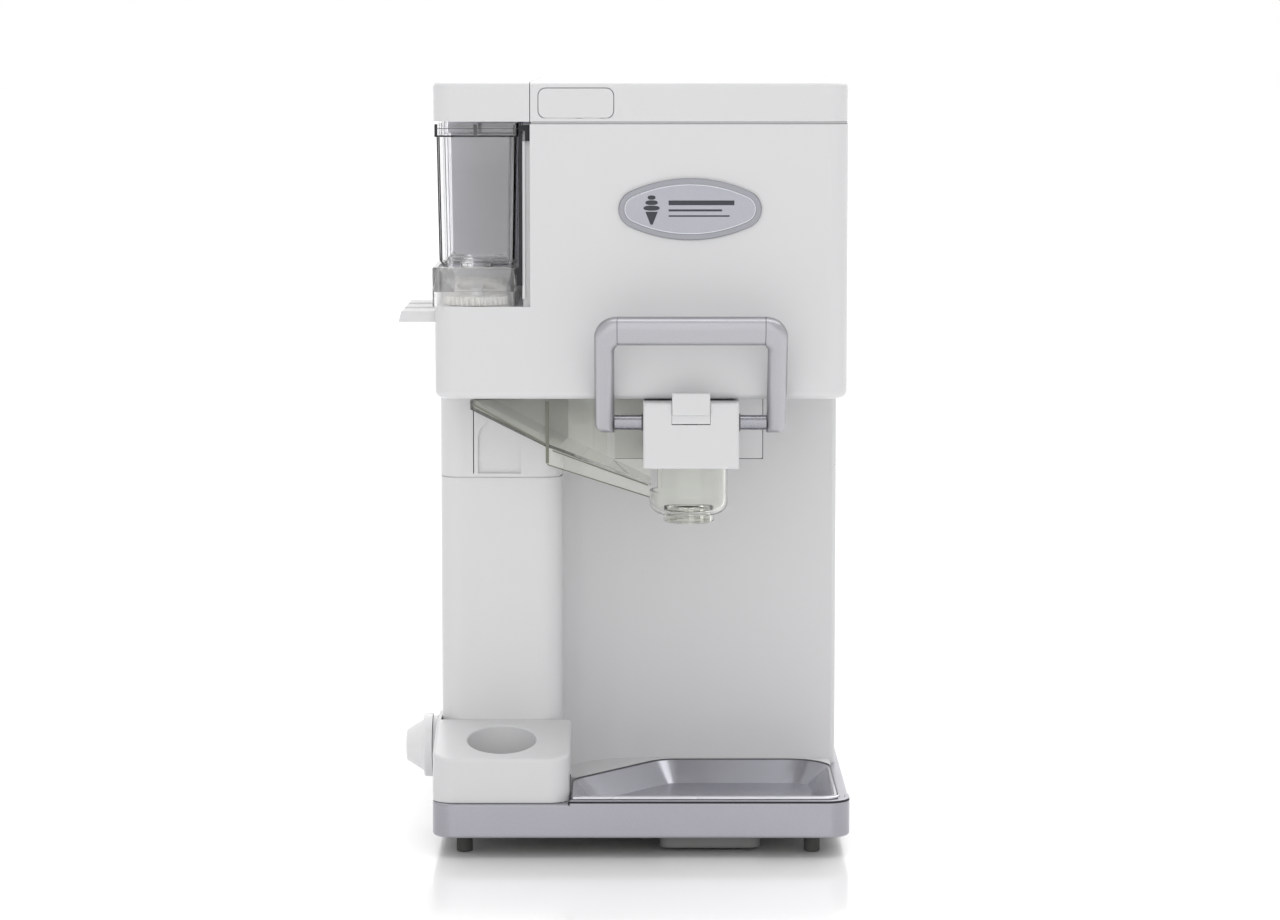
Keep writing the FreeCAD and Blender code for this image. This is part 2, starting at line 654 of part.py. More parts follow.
def hinge_ears(knuckle_x):
    """Two ears on the head's rear edge that carry one lid hinge pin."""
    ears = []
    for side in (-1, 1):
        near = knuckle_x + side * (KNUCKLE_W / 2 + EAR_GAP)
        far = near + side * EAR_W
        x0, x1 = min(near, far), max(near, far)
        round_top = rod_x(x0, x1, LID_HINGE_Y, LID_HINGE_Z, KNUCKLE_R)
        foot = box(x0, x1, LID_HINGE_Y - KNUCKLE_R, LID_HINGE_Y + KNUCKLE_R, HEAD_TOP - WALL + SLIP, LID_HINGE_Z)
        ears.append(join(round_top, foot).cut(rod_x(x0 - 1, x1 + 1, LID_HINGE_Y, LID_HINGE_Z, LID_PIN_R + 0.02)))
    return ears


def head_housing():
    outer = head_box(0, HEAD_BOTTOM, HEAD_TOP)
    shell = outer.cut(head_box(WALL, FLOOR_TOP, HEAD_TOP + 5))
    bay_wall = box(-HEAD_HALF, BAY_RIGHT + WALL, 0, BAY_BACK + WALL, BAY_FLOOR - WALL, HEAD_TOP)
    shell = join(shell, bay_wall.common(outer))
    shell = shell.cut(box(-HEAD_HALF - 1, BAY_RIGHT, -1, BAY_BACK, BAY_FLOOR, HEAD_TOP + 1))
    shell = shell.cut(box(-TOWER_HALF + WALL, TOWER_HALF - WALL, DEPTH - WALL - 0.01, DEPTH + 1,
                          HEAD_BOTTOM - 1, HEAD_TOP - WALL + SLIP))
    bay_rib = box(SEAL_X[1] + SLIP, BAY_RIGHT + WALL / 2, SEAL_Y[1], SEAL_Y[1] + BAY_RIB_THICK,
                  BAY_FLOOR - WALL / 2, HEAD_TOP)
    shell = join(shell, bay_rib, *head_bosses())
    for cutter in head_openings():
        shell = shell.cut(cutter)
    return drill_posts(shell, REAR_SCREWS_HEAD)


def drive_screw_places():
    across, along = DRIVE_SCREW_REACH
    return [(BOWL_X + dx, BOWL_Y + dy) for dx in (-across, across) for dy in (-along, along)]


def head_bosses():
    """Posts, bearing bosses, lever lugs and hinge ears moulded with the head."""
    bosses = [rod_z(x, y, FLOOR_TOP - 1, PLATE_Z[0], SCREW_POST_R) for x, y in drive_screw_places()]
    for y in (BOWL_Y, COUNTER_Y):
        bosses.append(rod_z(BOWL_X, y, FLOOR_TOP - 1, LOW_GEAR_Z[0] - 0.4, bush_radius(y) + 2.0))
    bosses.append(rod_z(WHEEL_X, PINION_Y, FLOOR_TOP - 1, FLOOR_TOP + 8, 5.0))
    for y in CELL_YS:
        bosses.append(rod_z(WHEEL_X, y, BAY_FLOOR - 1, HOPPER_WALL_TOP - 1, WHEEL_PIN_R))
        for side in (-1, 1):
            y0 = y + side * LUG_INNER
            y1 = y + side * LUG_OUTER
            lug = box(LEVER_PIVOT_X - 3.5, LEVER_PIVOT_X + 3.5, min(y0, y1), max(y0, y1),
                      LEVER_Z[0] - 1.5, BAY_FLOOR - WALL + 0.5)
            bosses.append(lug)
    bosses += rear_posts(REAR_SCREWS_HEAD, HEAD_HALF - WALL / 2)
    for knuckle in MAIN_KNUCKLES + (COVER_KNUCKLE,):
        bosses += hinge_ears(knuckle)
    return bosses


def lever_pivot_z():
    return (LEVER_Z[0] + LEVER_Z[1]) / 2


def head_openings():
    """Everything cut through the head: drive, spout, drop, lever slots and latch catch."""
    cutters = []
    for y in (BOWL_Y, COUNTER_Y):
        cutters.append(rod_z(BOWL_X, y, HEAD_BOTTOM + 0.8, LOW_GEAR_Z[0], bush_radius(y)))
    cutters.append(rod_z(BOWL_X, MOTOR_Y, HEAD_BOTTOM - 1, FLOOR_TOP + 1, MOTOR_BOSS_R + 1.0))
    cutters.append(rod_z(BOWL_X, SPOUT_Y, HEAD_BOTTOM - 1, FLOOR_TOP + 1, SPOUT_R + SLIP))
    cutters.append(rod_z(WHEEL_X, PINION_Y, FLOOR_TOP - 1, FLOOR_TOP + 9, COUNTER_R + FIT))
    cutters.append(rod_z(WHEEL_X, PINION_Y, BAY_FLOOR - WALL - 1, BAY_FLOOR + 1, COUNTER_R + FIT))
    cutters.append(box(DUCT_X[0] + THIN, DUCT_X[1] - THIN, DUCT_Y[0] + THIN, DUCT_Y[1] - THIN,
                       HEAD_BOTTOM - 1, FLOOR_TOP + 1))
    reach = LEVER_PIVOT_X - (-HEAD_HALF)
    drop = abs(reach) * math.tan(math.radians(LEVER_SWING)) + 1.2
    for y in CELL_YS:
        cutters.append(rod_z(DROP_HOLE_X, y, BAY_FLOOR - WALL - 1, BAY_FLOOR + 1, DROP_HOLE_R))
        slot_z = (LEVER_Z[0] - drop, LEVER_Z[1] + 0.4)
        cutters.append(box(-HEAD_HALF - 1, -HEAD_HALF + WALL + 1, y - LEVER_WIDTH / 2 - 0.6,
                           y + LEVER_WIDTH / 2 + 0.6, slot_z[0], slot_z[1]))
        cutters.append(rod_y(LEVER_PIVOT_X, y - LUG_OUTER, y + LUG_OUTER, lever_pivot_z(), LEVER_PIN_R + FIT))
    for x, y in drive_screw_places():
        cutters.append(rod_z(x, y, PLATE_Z[0] - SCREW_LENGTH, PLATE_Z[0] + 1, SCREW_R + FIT))
    for x, y in motor_screw_places():
        cutters.append(rod_z(x, y, HEAD_BOTTOM - 1, FLOOR_TOP + 1, SCREW_R + FIT))
    return cutters


def motor_screw_places():
    return [(BOWL_X + dx, MOTOR_Y) for dx in (-MOTOR_SCREW_REACH, MOTOR_SCREW_REACH)]


def bay_back_panel():
    return box(-HEAD_HALF + WALL, BAY_RIGHT - SLIP, BAY_BACK - PANEL_THICK, BAY_BACK, HOPPER_TOP + 0.5, HEAD_TOP - 1)


def wheel_tip():
    return MODULE * (WHEEL_TEETH / 2 + 0.8)


def metering_base():
    """Clear hopper tray under the containers: three square funnels in one moulding."""
    y0 = CELL_YS[0] - wheel_tip() - 0.4 - THIN
    y1 = BAY_BACK - PANEL_THICK - SLIP
    body = rounded_box(HOPPER_X[0], HOPPER_X[1], y0, y1, BAY_FLOOR, HOPPER_TOP, HOPPER_CORNER, top=0.8)
    chamber = rounded_box(HOPPER_X[0] + THIN, HOPPER_X[1] - THIN, y0 + THIN, y1 - THIN,
                          BAY_FLOOR - 1, HOPPER_WALL_TOP, HOPPER_CORNER - 1.0)
    body = body.cut(chamber)
    for y in CELL_YS:
        half = CELL_PITCH / 2 - 1.5
        lower = [V(WHEEL_X - 12, y - 9, HOPPER_WALL_TOP - 0.01), V(WHEEL_X + 16, y - 9, HOPPER_WALL_TOP - 0.01),
                 V(WHEEL_X + 16, y + 9, HOPPER_WALL_TOP - 0.01), V(WHEEL_X - 12, y + 9, HOPPER_WALL_TOP - 0.01)]
        upper = [V(HOPPER_X[0] + 3, y - half, HOPPER_TOP + 0.01), V(HOPPER_X[1] - 3, y - half, HOPPER_TOP + 0.01),
                 V(HOPPER_X[1] - 3, y + half, HOPPER_TOP + 0.01), V(HOPPER_X[0] + 3, y + half, HOPPER_TOP + 0.01)]
        funnel = Part.makeLoft([Part.makePolygon(lower + lower[:1]), Part.makePolygon(upper + upper[:1])],
                               True, True)
        body = body.cut(funnel)
    return body


def container(y):
    """Clear tapered condiment box with a straight band round its mouth and a hole in its floor."""
    half = CONTAINER_DEPTH / 2
    band_z = CONTAINER_TOP - CONTAINER_BAND
    band = rounded_box(CONTAINER_X[0], CONTAINER_X[1], y - half, y + half, band_z, CONTAINER_TOP, 3.0)
    band = band.cut(rounded_box(CONTAINER_X[0] + THIN, CONTAINER_X[1] - THIN, y - half + THIN,
                                y + half - THIN, band_z - 1, CONTAINER_TOP + 1, 1.4))
    body = container_body(y, THIN / 2, band_z)
    return join(body.cut(container_body(y, THIN / 2 + THIN, band_z + 0.01, HOPPER_TOP + THIN)), band).cut(
        rod_z(WHEEL_X, y, HOPPER_TOP - 1, HOPPER_TOP + THIN + 1, CONTAINER_HOLE_R))


def container_body(y, inset, top, bottom=HOPPER_TOP):
    half = CONTAINER_DEPTH / 2
    wires = []
    foot_top = HOPPER_TOP + CONTAINER_FOOT
    for z, draft in ((bottom, CONTAINER_TAPER + CONTAINER_TUCK * (foot_top - bottom) / CONTAINER_FOOT),
                     (foot_top, CONTAINER_TAPER), (top, 0.0)):
        x0 = CONTAINER_X[0] + inset + draft
        x1 = CONTAINER_X[1] - inset - draft
        y0 = y - half + inset + draft / 2
        y1 = y + half - inset - draft / 2
        corners = [V(x0, y0, z), V(x1, y0, z), V(x1, y1, z), V(x0, y1, z)]
        wires.append(outline_face(corners, [2.4] * 4).OuterWire)
    return Part.makeLoft(wires, True, True)


def drop_duct():
    """Open white duct that carries the mix-ins from the bay floor down to the chute."""
    outer = box(DUCT_X[0], DUCT_X[1], DUCT_Y[0], DUCT_Y[1], FLOOR_TOP, BAY_FLOOR - WALL)
    inner = box(DUCT_X[0] + THIN, DUCT_X[1] - THIN, DUCT_Y[0] + THIN, DUCT_Y[1] - THIN,
                FLOOR_TOP - 1, BAY_FLOOR)
    return outer.cut(inner)


def bay_seal():
    """Dark strip down the bay's inner wall, with a hooked head under the lid and a foot."""
    strip = box(SEAL_X[0], SEAL_X[1], SEAL_Y[0], SEAL_Y[1], BAY_FLOOR + 4.0, HEAD_TOP - 0.6)
    head = box(SEAL_X[0], BAY_RIGHT, SEAL_Y[0], SEAL_Y[1], HEAD_TOP - 3.6, HEAD_TOP - 0.6)
    hook = box(BAY_RIGHT - 2.6, BAY_RIGHT, SEAL_Y[0], SEAL_Y[1], HEAD_TOP - 9.0, HEAD_TOP - 0.6)
    foot = box(SEAL_X[1], BAY_RIGHT, SEAL_Y[0], SEAL_Y[1], HOPPER_TOP - 12.0, HOPPER_TOP - 8.0)
    return join(strip, head, hook, foot)


def metering_wheel(y, tooth_at):
    disc = gear_disc(WHEEL_X, y, WHEEL_Z[0], WHEEL_Z[1], WHEEL_TEETH, tooth_at, WHEEL_PIN_R + FIT)
    for k in range(4):
        angle = math.radians(45 + 90 * k)
        x = WHEEL_X + WHEEL_WINDOW_PLACE * math.cos(angle)
        hole_y = y + WHEEL_WINDOW_PLACE * math.sin(angle)
        disc = disc.cut(rod_z(x, hole_y, WHEEL_Z[0] - 1, WHEEL_Z[1] + 1, WHEEL_WINDOW_R))
    return disc


def lever(y):
    """Push-down lever: a blade with a sloped end outside the wall and a pivot pin inside."""
    half = LEVER_WIDTH / 2
    tail = (LEVER_INNER - LEVER_PIVOT_X) * math.tan(math.radians(LEVER_SWING + 1.0))
    blade = prism_xz([(LEVER_INNER, LEVER_Z[0]), (LEVER_TIP, LEVER_Z[0]), (LEVER_TIP_TOP, LEVER_Z[1]),
                      (LEVER_PIVOT_X, LEVER_Z[1]), (LEVER_INNER, LEVER_Z[1] - tail)],
                     y - half, y + half, [0.8, 0.5, 0.8, 0, 0.8])
    pin = rod_y(LEVER_PIVOT_X, y - half - 3.6, y + half + 3.6, lever_pivot_z(), LEVER_PIN_R)
    return join(blade, pin)


# ================================================================ lids
def lid_solid(inset, z0, z1, top):
    return rounded_box(LID_LEFT + inset, LID_RIGHT - inset, inset, LID_BACK - inset, z0, z1,
                       HEAD_CORNER - inset, top=top)


def knuckle(x):
    half = KNUCKLE_W / 2
    barrel = rod_x(x - half, x + half, LID_HINGE_Y, LID_HINGE_Z, KNUCKLE_R)
    neck = box(x - half, x + half, LID_BACK - WALL, LID_HINGE_Y, LID_HINGE_Z - 1.5, LID_HINGE_Z + KNUCKLE_R)
    return join(barrel, neck)


def lid_piece(x0, x1, knuckles):
    """Part of the lid between x0 and x1, open below, with its own walls at the cut."""
    outer = lid_solid(0, LID_BOTTOM, LID_TOP, LID_EDGE)
    inner = lid_solid(WALL, LID_BOTTOM - 1, LID_TOP - WALL, 1.0)
    piece = outer.common(box(x0, x1, -5, FAR, LID_BOTTOM - 5, LID_TOP + 5))
    piece = piece.cut(inner.common(box(x0 + WALL, x1 - WALL, -5, FAR, LID_BOTTOM - 5, LID_TOP + 5)))
    piece = join(piece, *[knuckle(x) for x in knuckles])
    return piece.cut(rod_x(-FAR, FAR, LID_HINGE_Y, LID_HINGE_Z, LID_PIN_R + FIT))


def main_lid():
    lid = lid_piece(BAY_RIGHT + SLIP, LID_RIGHT + 1, MAIN_KNUCKLES)
    lid = lid.cut(slab_y(BUTTON_X[0] - GAP, BUTTON_X[1] + GAP, BUTTON_Z[0] - GAP, BUTTON_Z[1] + GAP,
                         -1, WALL + 1, BUTTON_CORNER + GAP))
    rib_y = WALL + SPRING_RIB
    rib = box(BUTTON_X[0] - 4, BUTTON_X[1] + 4, rib_y, rib_y + WALL, BUTTON_Z[0], LID_TOP - WALL / 2)
    return join(lid, rib)


def condiment_cover():
    return lid_piece(LID_LEFT - 1, BAY_RIGHT - SLIP, (COVER_KNUCKLE,))


def lid_pins():
    half = KNUCKLE_W / 2 + EAR_W + EAR_GAP
    pins = [rod_x(x - half, x + half, LID_HINGE_Y, LID_HINGE_Z, LID_PIN_R)
            for x in MAIN_KNUCKLES + (COVER_KNUCKLE,)]
    return Part.makeCompound(pins)


def lid_button():
    """Flush button whose side flanges keep it behind the lid's front wall."""
    face = slab_y(BUTTON_X[0], BUTTON_X[1], BUTTON_Z[0], BUTTON_Z[1], 0.0, WALL + 1.2, BUTTON_CORNER)
    face = face.makeFillet(0.5, edges_where(face, lambda p: abs(p.y) < 1e-4))
    flange = box(BUTTON_X[0] - 1.5, BUTTON_X[1] + 1.5, WALL + 0.1, WALL + 1.4,
                 BUTTON_Z[0] + 3.0, BUTTON_Z[1] - 3.0)
    return join(face, flange)


def button_spring():
    """Bowed leaf spring on the rib behind the button."""
    middle = (BUTTON_X[0] + BUTTON_X[1]) / 2
    back = WALL + SPRING_RIB
    crest = WALL + 1.4 + BUTTON_TRAVEL + GAP
    z = (BUTTON_Z[0] + BUTTON_Z[1]) / 2
    outer = Part.Arc(V(middle - 14, back, z - 3), V(middle, crest, z - 3), V(middle + 14, back, z - 3))
    inner = Part.Arc(V(middle + 13.2, back, z - 3), V(middle, crest + 0.6, z - 3), V(middle - 13.2, back, z - 3))
    edges = [outer.toShape(), Part.makeLine(V(middle + 14, back, z - 3), V(middle + 13.2, back, z - 3)),
             inner.toShape(), Part.makeLine(V(middle - 13.2, back, z - 3), V(middle - 14, back, z - 3))]
    return Part.Face(Part.Wire(edges)).extrude(V(0, 0, 6))


# ================================================================ cone holder, dial and tray
def cone_holder():
    """Sloped white block with the cone socket; a wing runs back beside the column to the dial."""
    slope = math.tan(math.radians(HOLDER_SLOPE))
    back_top = HOLDER_FRONT_TOP + slope * COLUMN_FRONT
    wing_back = DIAL_Y + DIAL_R + 5.0
    body = rounded_box(-BASE_HALF, HOLDER_RIGHT, 0, wing_back, BASE_TOP, back_top, HEAD_CORNER)
    slope_cut = prism_yz([(-1, HOLDER_FRONT_TOP - slope), (COLUMN_FRONT, back_top), (COLUMN_FRONT, back_top + 9),
                          (-1, back_top + 9)], -130, 0)
    body = body.cut(slope_cut)
    rim = [e for e in body.Edges if min(v.Z for v in e.Vertexes) > HOLDER_FRONT_TOP - 0.5]
    inner_seam = [e for e in rim if all(abs(v.Y - COLUMN_FRONT) < 1e-3 for v in e.Vertexes)]
    body = body.makeFillet(2.5, [e for e in rim if not any(e.isSame(s) for s in inner_seam)])
    body = body.cut(box(-TOWER_HALF - 0.2, 0, COLUMN_FRONT - 0.2, wing_back + 1, BASE_TOP - 1, back_top + 1))
    socket_wall = rod_z(CONE_X, CONE_Y, BASE_TOP, back_top, CONE_R + THIN)
    hollow = rounded_box(-BASE_HALF + WALL, HOLDER_RIGHT - WALL, WALL, COLUMN_FRONT - WALL, BASE_TOP - 1,
                         back_top - WALL, HEAD_CORNER - WALL)
    under = prism_yz([(-1, HOLDER_FRONT_TOP - slope - WALL * 1.1), (COLUMN_FRONT, back_top - WALL * 1.1),
                      (COLUMN_FRONT, BASE_TOP - 2), (-1, BASE_TOP - 2)], -130, 0)
    hollow = hollow.common(under).cut(socket_wall)
    body = body.cut(hollow)
    body = body.cut(rod_z(CONE_X, CONE_Y, BASE_TOP + THIN, back_top + 1, CONE_R))
    lip = body_lip_edges(body)
    if lip:
        body = body.makeFillet(1.0, lip)
    return body.cut(rod_x(-BASE_HALF - 1, -TOWER_HALF, DIAL_Y, DIAL_Z, DIAL_SHAFT_R + GAP))


def body_lip_edges(body):
    """The edge where the cone socket breaks the sloped top."""
    return [e for e in body.Edges
            if abs(e.BoundBox.XLength - 2 * CONE_R) < 0.2 and e.BoundBox.ZMax > HOLDER_FRONT_TOP]


def dial_bezel():
    return rod_x(DIAL_X[1] + GAP, -BASE_HALF, DIAL_Y, DIAL_Z, DIAL_R - 1.5).cut(
        rod_x(DIAL_X[1] - 1, -BASE_HALF + 1, DIAL_Y, DIAL_Z, DIAL_SHAFT_R + GAP))


def dial():
    """Domed knob on a flange, with a grip bar across its face and its shaft behind."""
    face_x = DIAL_X[1] - DIAL_FLANGE
    flange = rod_x(face_x, DIAL_X[1], DIAL_Y, DIAL_Z, DIAL_R)
    flange = flange.makeFillet(1.5, [e for e in flange.Edges if abs(e.BoundBox.XMax - face_x) < 1e-3
                                     and e.BoundBox.XLength < 1e-3])
    cap = Part.makeCone(14.5, 8.5, face_x - DIAL_X[0], V(face_x, DIAL_Y, DIAL_Z), V(-1, 0, 0))
    tip = [e for e in cap.Edges if abs(e.BoundBox.XMax - DIAL_X[0]) < 1e-3]
    cap = cap.makeFillet(2.5, tip)
    shaft = rod_x(DIAL_X[1], SWITCH_X[0] + 6.0, DIAL_Y, DIAL_Z, DIAL_SHAFT_R)
    return join(flange, cap, shaft)


def dial_switch():
    """Rotary switch on the inside of the column wall, turned by the dial's shaft."""
    body = box(SWITCH_X[0], SWITCH_X[1], DIAL_Y - 9, DIAL_Y + 9, DIAL_Z - 11, DIAL_Z + 11)
    for dy in (-6.0, 0.0, 6.0):
        tag = box(SWITCH_X[1], SWITCH_X[1] + 6, DIAL_Y + dy - 2, DIAL_Y + dy + 2, DIAL_Z - 0.4, DIAL_Z + 0.4)
        body = join(body, tag)
    return body.cut(rod_x(SWITCH_X[0] - 1, SWITCH_X[0] + 6.3, DIAL_Y, DIAL_Z, DIAL_SHAFT_R + FIT))


def drip_tray():
    """Shallow basin with sloping sides and a rim that rests on the base."""
    rim = tray_solid(0, BASE_TOP, TRAY_RIM_TOP)
    basin = tray_solid(TRAY_LIP, TRAY_FLOOR - 1.0, BASE_TOP + 0.5)
    floor_line = tray_plan(TRAY_SLOPE_FOOT, TRAY_FLOOR + 0.8)
    hollow = Part.makeLoft([floor_line, tray_plan(TRAY_SLOPE_TOP, TRAY_RIM_TOP + 0.01)], True, True)
    return join(rim, basin).cut(hollow)


# ================================================================ badge
def badge_lens(shrink):
    """The badge's outline, drawn in by a margin: two wide arcs that run into two round ends."""
    half_x, half_z = BADGE_HALF
    radius = ((half_x - BADGE_TIP) ** 2 + half_z ** 2 - BADGE_TIP ** 2) / (2 * (half_z - BADGE_TIP))
    cx, cz = BADGE_CENTRE
    drop = radius - half_z
    upper = rod_y(cx, -BADGE_PROUD, 0, cz - drop, radius - shrink)
    lower = rod_y(cx, -BADGE_PROUD, 0, cz + drop, radius - shrink)
    lens = upper.common(lower)
    tips = edges_where(lens, lambda p: abs(p.z - cz) < 1e-3)
    return lens.makeFillet(BADGE_TIP - shrink, tips)


def badge_frame():
    ring = badge_lens(0)
    front = edges_where(ring, lambda p: abs(p.y + BADGE_PROUD) < 1e-4)
    ring = ring.makeFillet(0.7, front)
    return ring.cut(badge_lens(BADGE_RING))


def badge_plate():
    return badge_lens(BADGE_RING + 0.1).common(box(-FAR, FAR, -1.1, 0, 0, FAR))


# ================================================================ freezer bowl
def bowl_shell():
    shell = rod_z(BOWL_X, BOWL_Y, BOWL_BOTTOM, BOWL_TOP, BOWL_R)
    shell = shell.makeFillet(5.0, edges_at_z(shell, BOWL_BOTTOM))
    shell = shell.cut(rod_z(BOWL_X, BOWL_Y, BOWL_BOTTOM + BOWL_WALL, BOWL_TOP + 1, BOWL_R - BOWL_WALL))
    shell = shell.cut(rod_z(BOWL_X, BOWL_Y, BOWL_BOTTOM - 1, BOWL_BOTTOM + 5, HUB_R + SLIP))
    return shell.cut(rod_z(BOWL_X, SPOUT_Y, BOWL_BOTTOM - 1, BOWL_BOTTOM + 5, SPOUT_R + SLIP))


def bowl_liner():
    """Aluminium liner with its rolled rim, the centre hub and the spout in one piece."""
    cup = rod_z(BOWL_X, BOWL_Y, LINER_FLOOR - LINER_WALL, BOWL_TOP, LINER_R + LINER_WALL)
    cup = cup.makeFillet(6.0, edges_at_z(cup, LINER_FLOOR - LINER_WALL))
    rim = rod_z(BOWL_X, BOWL_Y, BOWL_TOP, BOWL_TOP + BOWL_FLANGE, BOWL_R)
    rim = rim.makeFillet(1.2, edges_at_z(rim, BOWL_TOP + BOWL_FLANGE))
    space = rod_z(BOWL_X, BOWL_Y, LINER_FLOOR, BOWL_TOP + BOWL_FLANGE + 1, LINER_R)
    space = space.makeFillet(5.0, edges_at_z(space, LINER_FLOOR))
    hub = rod_z(BOWL_X, BOWL_Y, BOWL_BOTTOM, HUB_TOP, HUB_R)
    spout = rod_z(BOWL_X, SPOUT_Y, SPOUT_FOOT, LINER_FLOOR, SPOUT_R)
    body = join(join(cup, rim).cut(space), hub, spout)
    body = body.cut(rod_z(BOWL_X, BOWL_Y, BOWL_BOTTOM - 1, HUB_TOP + 1, SPINDLE_R + FIT))
    return body.cut(rod_z(BOWL_X, SPOUT_Y, SPOUT_FOOT - 1, LINER_FLOOR + 1, CHANNEL_R))


def bowl_gel():
    """Sealed coolant between the bowl's two walls."""
    clear = 0.2
    gel = rod_z(BOWL_X, BOWL_Y, BOWL_BOTTOM + BOWL_WALL + clear, BOWL_TOP - 6.0, BOWL_R - BOWL_WALL - clear)
    gel = gel.cut(rod_z(BOWL_X, BOWL_Y, LINER_FLOOR - LINER_WALL - clear, BOWL_TOP, LINER_R + LINER_WALL + clear))
    gel = gel.cut(rod_z(BOWL_X, BOWL_Y, BOWL_BOTTOM, LINER_FLOOR, HUB_R + clear))
    return gel.cut(rod_z(BOWL_X, SPOUT_Y, BOWL_BOTTOM, LINER_FLOOR, SPOUT_R + clear))


def spindle_seal():
    ring = rod_z(BOWL_X, BOWL_Y, HUB_TOP, HUB_TOP + 3.0, HUB_R - 0.5)
    return ring.cut(rod_z(BOWL_X, BOWL_Y, HUB_TOP - 1, HUB_TOP + 4.0, SPINDLE_R + FIT))


def paddle():
    """Mixing paddle: hub, a wide open frame that scrapes the wall and a short cross blade."""
    low = LINER_FLOOR + 2.0
    high = BOWL_TOP - 12.0
    reach = LINER_R - 1.5
    hub_low = HUB_TOP + 3.5
    hub = rod_z(BOWL_X, BOWL_Y, hub_low, hub_low + 40.0, 12.0)
    stem = rod_z(BOWL_X, BOWL_Y, hub_low + 39.0, high, 6.0)
    frame = box(BOWL_X - reach, BOWL_X + reach, BOWL_Y - 1.6, BOWL_Y + 1.6, low, high)
    for side in (-1, 1):
        x0 = BOWL_X + side * 14.0
        x1 = BOWL_X + side * (reach - 7.0)
        window = box(min(x0, x1), max(x0, x1), BOWL_Y - 5, BOWL_Y + 5, low + 6.0, high - 6.0)
        frame = frame.cut(window)
    cross = box(BOWL_X - 1.6, BOWL_X + 1.6, BOWL_Y - 40.0, BOWL_Y + 40.0, hub_low + 6.0, hub_low + 18.0)
    body = join(hub, stem, frame, cross)
    body = body.cut(rod_z(BOWL_X, BOWL_Y, low - 5, hub_low, 13.0))
    return body.cut(rod_z(BOWL_X, BOWL_Y, hub_low - 1, SPINDLE_TOP + 1.0, SPINDLE_R + FIT))


# ================================================================ drive
def bush_radius(y):
    """Outside radius of the bush at the spindle or at the countershaft."""
    return (SPINDLE_R if y == BOWL_Y else COUNTER_R) + BUSH_WALL


def gearbox_plate():
    plate = rounded_box(BOWL_X - PLATE_REACH, BOWL_X + PLATE_REACH, *PLATE_Y, *PLATE_Z, 10.0)
    for y in (BOWL_Y, COUNTER_Y):
        plate = plate.cut(rod_z(BOWL_X, y, PLATE_Z[0] - 1, PLATE_Z[1] + 1, bush_radius(y)))
    plate = plate.cut(rod_z(BOWL_X, SPOUT_Y, PLATE_Z[0] - 1, PLATE_Z[1] + 1, SPOUT_R + SLIP))
    for x, y in drive_screw_places():
        plate = plate.cut(rod_z(x, y, PLATE_Z[0] - 1, PLATE_Z[1] + 1, SCREW_R + FIT))
        plate = plate.cut(rod_z(x, y, PLATE_Z[1] - 1.4, PLATE_Z[1] + 1, SCREW_HEAD_R + SLIP))
    return plate


def bushes():
    """Four bronze bushes: spindle and countershaft, in the head's floor and in the plate."""
    rings = []
    for y, shaft in ((BOWL_Y, SPINDLE_R), (COUNTER_Y, COUNTER_R)):
        for z0, z1 in ((HEAD_BOTTOM + 0.8, LOW_GEAR_Z[0] - 0.4), PLATE_Z):
            ring = rod_z(BOWL_X, y, z0, z1, bush_radius(y))
            rings.append(ring.cut(rod_z(BOWL_X, y, z0 - 1, z1 + 1, shaft + FIT)))
    return Part.makeCompound(rings)


def spindle_gear():
    gear = gear_disc(BOWL_X, BOWL_Y, LOW_GEAR_Z[0], LOW_GEAR_Z[1], SPINDLE_TEETH, 90.0, 0)
    shaft = rod_z(BOWL_X, BOWL_Y, HEAD_BOTTOM + 1.0, SPINDLE_TOP, SPINDLE_R)
    collar = rod_z(BOWL_X, BOWL_Y, LOW_GEAR_Z[1], PLATE_Z[0] - 0.3, SPINDLE_R + 2.0)
    return join(gear, shaft, collar)


def countershaft():
    small = gear_disc(BOWL_X, COUNTER_Y, LOW_GEAR_Z[0], HIGH_GEAR_Z[0], COUNTER_SMALL_TEETH,
                      gap_angle(COUNTER_SMALL_TEETH, 270.0), 0)
    large = gear_disc(BOWL_X, COUNTER_Y, HIGH_GEAR_Z[0], HIGH_GEAR_Z[1], COUNTER_LARGE_TEETH, 90.0, 0)
    shaft = rod_z(BOWL_X, COUNTER_Y, HEAD_BOTTOM + 1.0, PLATE_Z[1] - 0.3, COUNTER_R)
    return join(small, large, shaft, pulley(BOWL_X, COUNTER_Y, HIGH_GEAR_Z[1]))


def pulley(x, y, foot):
    drum = rod_z(x, y, foot, BELT_Z[1] + 0.6, PULLEY_R - BELT_THICK)
    low_flange = rod_z(x, y, BELT_Z[0] - 1.2, BELT_Z[0] - 0.3, PULLEY_R)
    return join(drum, low_flange)


def condiment_pinion():
    gear = gear_disc(WHEEL_X, PINION_Y, WHEEL_Z[0], WHEEL_Z[1], PINION_TEETH, 270.0, 0)
    shaft = rod_z(WHEEL_X, PINION_Y, FLOOR_TOP + 0.2, WHEEL_Z[1] + 2.0, COUNTER_R)
    return join(gear, shaft, pulley(WHEEL_X, PINION_Y, BELT_Z[0] - 1.2))


def belt_loop(radius, z0, z1):
    """Racetrack round the two pulleys."""
    ends = [(BOWL_X, COUNTER_Y), (WHEEL_X, PINION_Y)]
    dx, dy = ends[1][0] - ends[0][0], ends[1][1] - ends[0][1]
    length = math.hypot(dx, dy)
    nx, ny = -dy / length * radius, dx / length * radius
    strip = prism_xy([(ends[0][0] + nx, ends[0][1] + ny), (ends[1][0] + nx, ends[1][1] + ny),
                      (ends[1][0] - nx, ends[1][1] - ny), (ends[0][0] - nx, ends[0][1] - ny)], z0, z1)
    return join(strip, *[rod_z(x, y, z0, z1, radius) for x, y in ends])


